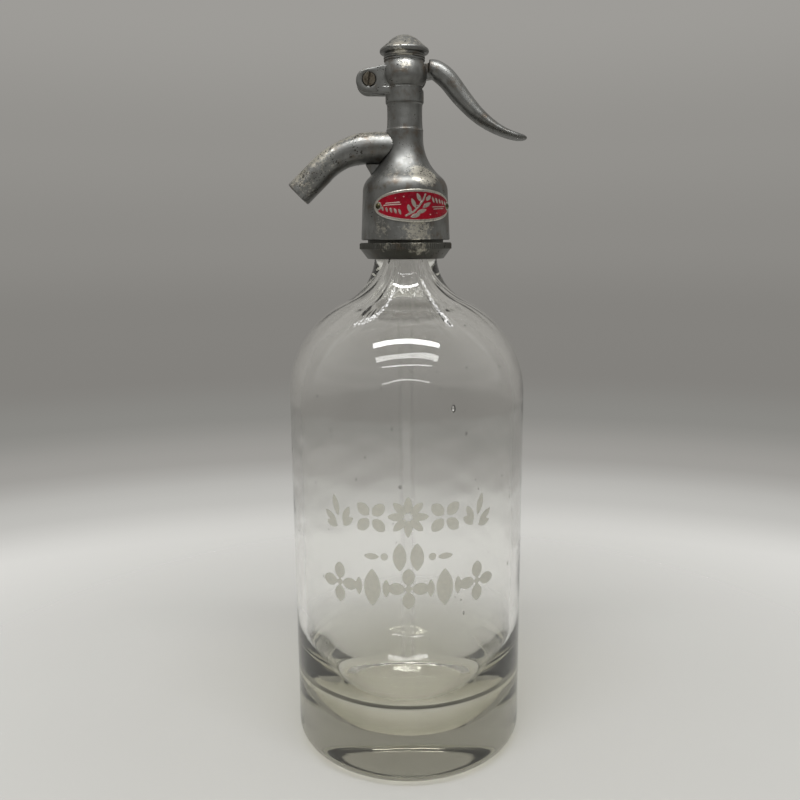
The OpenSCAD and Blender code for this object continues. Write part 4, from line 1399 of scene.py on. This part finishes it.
@dataclass
class Fittings:
    """The neck ring, the screw, the rivets, the seals and the valve, which keep their solids."""

    nodes: dict[str, Object]
    valve_travel: float = 2.5

    def dress(self) -> None:
        """Gives each fitting its finish."""
        # The neck ring's two spots on its front are painted highlights, drawn as rubbed metal.
        ring = CastAlloy(
            name="dark_white_metal_ring", oxide="#73736e", rubbed_and_sheen="#b4b0a3", pit="#2c2b27", rough=0.42,
            top_wear_and_sheen=0.3, pits=0.6, edge=0.12, seed=0.19,
            spots=(WearAndSheenSpot((6, -20, 217), 9, 0.7), WearAndSheenSpot((-9, -19, 217), 7, 0.5)),
        )
        steel = CastAlloy(
            name="worn_steel", oxide="#55524c", rubbed_and_sheen="#8e897e", pit="#2a261f", rough=0.42, top_wear_and_sheen=0.2,
            pits=0.3, edge=0.15, seed=0.41,
        ).build()
        washer = CastAlloy(
            name="tarnished_white_metal_washer", top_wear_and_sheen=0.3, edge=0.1, seed=0.61,
            spots=(WearAndSheenSpot((0, -8.5, 291.5), 8, 0.8),),
        )
        screw = AgedBrass(name="tarnished_brass_screw", bright="#8f887b", brown="#4c443a", rough=0.3)
        rivets = AgedBrass(name="dark_brass_rivets", bright="#6f6a4e", brown="#2f2e22", rough=0.45)
        tube = SodaGlass(name="drawn_glass_tube", frost="", density=6, film=0.0, faint=0.93)
        self._coat(ring.build(), "neck_ring")
        self._coat(washer.build(), "cap_washer")
        self._coat(steel, "collar_half_front", "collar_half_back")
        self._spring(steel)
        self._coat(screw.build(), "pivot_screw")
        self._coat(rivets.build(), "badge_rivets")
        self._coat(
            AgedBrass().build(), "tube_ferrule", "valve_seat", "valve_stem", "valve_plate", "valve_nut",
            "packing_washer", "gland_nut", "stem_button",
        )
        self._coat(
            SealRubber().build(), "lip_gasket", "tube_grommet", "head_gasket", "valve_washer", "stem_packing"
        )
        self._coat(tube.build(), "dip_tube")

    def _coat(self, finish: Material, *names: str) -> None:
        """Gives solids that stay as they are their finish.

        Args:
            finish: The material.
            *names: Which solids get it.
        """
        for name in names:
            self.nodes[name].data.materials.clear()
            self.nodes[name].data.materials.append(finish)
            LOG.info("%s: keeps its solid, in %s", name, finish.name)

    def _spring(self, steel: Material) -> None:
        """Copies the return spring as a piece of its own, with its own mesh.

        Args:
            steel: Its material.
        """
        coil = linked("return_spring_coil", self.nodes["return_spring"].data.copy())
        place(coil, Body.BOTTLE, steel, "return_spring")
        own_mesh(coil)


# Stage -------------------------------------------------------------------------------------------


@dataclass
class Stage:
    """The pale floor, the soft grey backdrop and the lights."""

    floor_r: float = 900.0
    # The backdrop's colour by the angle above the horizon, as a paper sweep lit from above gives it.
    sweep: tuple[tuple[float, str], ...] = (
        (-90, "#c8c8c4"), (-24, "#d7d6d2"), (-20, "#dcdbd7"), (-17, "#bcbbb7"), (-14.4, "#9e9c98"),
        (-11.6, "#8a8985"), (-9, "#83817d"), (-5, "#84827e"), (0, "#8c8a86"), (6, "#93918d"),
        (14, "#9e9c98"), (35, "#a9a7a3"), (90, "#b4b2ae"),
    )
    room: str = "#64635f"
    even: str = "#bdbdbb"
    # The bottle's walls bend what is seen through them by about a degree, in radians.
    bend: float = 0.019
    aim: Place = (0, 0, 0.15)

    def build(self) -> None:
        """Makes the world, the floor and the lamps."""
        self._world()
        self._floor()
        self._lamp("overhead_strip", (0, -0.36, 1.06), (0.95, 0.1), 6.6)
        self._lamp("second_strip", (0.0, -0.9, 0.95), (0.95, 0.03), 1.1)
        self._lamp("front_fill", (-0.5, -1.3, 0.9), (0.9, 0.7), 5.5, mirrored=False)
        LOG.info("stage: floor, backdrop and three lamps")

    def _world(self) -> None:
        """The backdrop, seen directly, in reflections and through the glass, over a soft even light."""
        world = bpy.data.worlds.new("studio")
        bpy.context.scene.world = world
        world.use_nodes = True
        tree = world.node_tree
        tree.nodes.clear()
        _, ahead, up = add(tree, "SeparateXYZ", add(tree, "TexCoord").outputs["Generated"]).outputs
        path = add(tree, "LightPath").outputs
        angle = weigh(tree, add(tree, "Math.ARCSINE", up), (path["Is Transmission Ray"], self.bend))
        ramp = add(tree, "ValToRGB", add(tree, "MapRange", angle, -math.pi / 2, math.pi / 2))
        ramp.color_ramp.interpolation = "EASE"
        points = ramp.color_ramp.elements
        while len(points) > 1:
            points.remove(points[-1])
        for i, (degrees, colour) in enumerate(self.sweep):
            spot = points.new((degrees + 90) / 180) if i else points[0]
            spot.position = (degrees + 90) / 180
            spot.color = linear(colour)
        # The room behind the camera is dimmer, which only mirrors and glass show.
        room = add(tree, TIMES, add(tree, RISE, ahead, 0.05, -0.5), add(tree, RISE, angle, -0.4, -0.1))
        seen = add(tree, "Background", add(tree, BLEND, add(tree, TIMES, room, 0.64), ramp, self.room))
        direct = add(tree, PLUS, path["Is Camera Ray"], path["Is Glossy Ray"])
        direct = add(tree, PLUS, direct, path["Is Transmission Ray"], use_clamp=True)
        add(tree, "OutputWorld", add(tree, "MixShader", direct, add(tree, "Background", self.even), seen))

    def _floor(self) -> None:
        """A round paper floor, a hair below the foot."""
        angle = np.radians(np.arange(0, 360, 3.75))
        rim = np.column_stack([self.floor_r * np.cos(angle), self.floor_r * np.sin(angle), 0 * angle])
        floor = mesh_object("paper_floor", rim, [range(len(rim))])
        floor.location.z = -0.0002
        floor.data.materials.append(PalePaper().build())

    def _lamp(self, name: str, at: Place, size: Point, power: float, mirrored: bool = True) -> None:
        """Adds a soft rectangular lamp that faces the siphon.

        Args:
            name: Its name.
            at: Its place in metres.
            size: Its width and height in metres.
            power: Its power in watts.
            mirrored: Whether glass and metal mirror it.
        """
        light = bpy.data.lights.new(name, "AREA")
        light.shape = "RECTANGLE"
        light.size, light.size_y = size
        light.energy = power
        lamp = bpy.data.objects.new(name, light)
        lamp.location = at
        lamp.rotation_euler = (Vector(self.aim) - Vector(at)).to_track_quat("-Z", "Y").to_euler()
        lamp.visible_glossy = lamp.visible_transmission = mirrored
        bpy.context.scene.collection.objects.link(lamp)


@dataclass
class PhotoCamera:
    """The camera, as far from the siphon and as high as the photograph's was."""

    at: Place = (-0.0023, -0.3525, 0.2198)
    pitch: float = 10.92
    roll: float = 0.45
    focal_pixels: float = 830.0
    frame_pixels: float = 800.0
    sensor: float = 36.0

    def build(self) -> None:
        """Makes the camera and sets it."""
        data = bpy.data.cameras.new("photo_camera")
        data.sensor_width = self.sensor
        data.lens = self.sensor * self.focal_pixels / self.frame_pixels
        data.clip_start = 0.01
        camera = bpy.data.objects.new("photo_camera", data)
        camera.location = self.at
        camera.rotation_euler = (math.radians(90 - self.pitch), math.radians(self.roll), 0)
        bpy.context.scene.collection.objects.link(camera)
        bpy.context.scene.camera = camera


def main() -> None:
    """Builds the siphon's looks piece by piece."""
    logging.basicConfig(level=logging.INFO, format="%(name)s: %(message)s")
    for default in list(bpy.data.objects):
        bpy.data.objects.remove(default)
    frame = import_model()
    PhotoCamera().build()
    GlassBottle().build(SodaGlass().build())
    HeadCastings().build()
    NamePlate().build(StampedEnamel().build())
    Fittings(frame["nodes"]).dress()
    Stage().build()
    bpy.context.scene.view_settings.view_transform = "Standard"


if __name__ == "__main__":
    main()
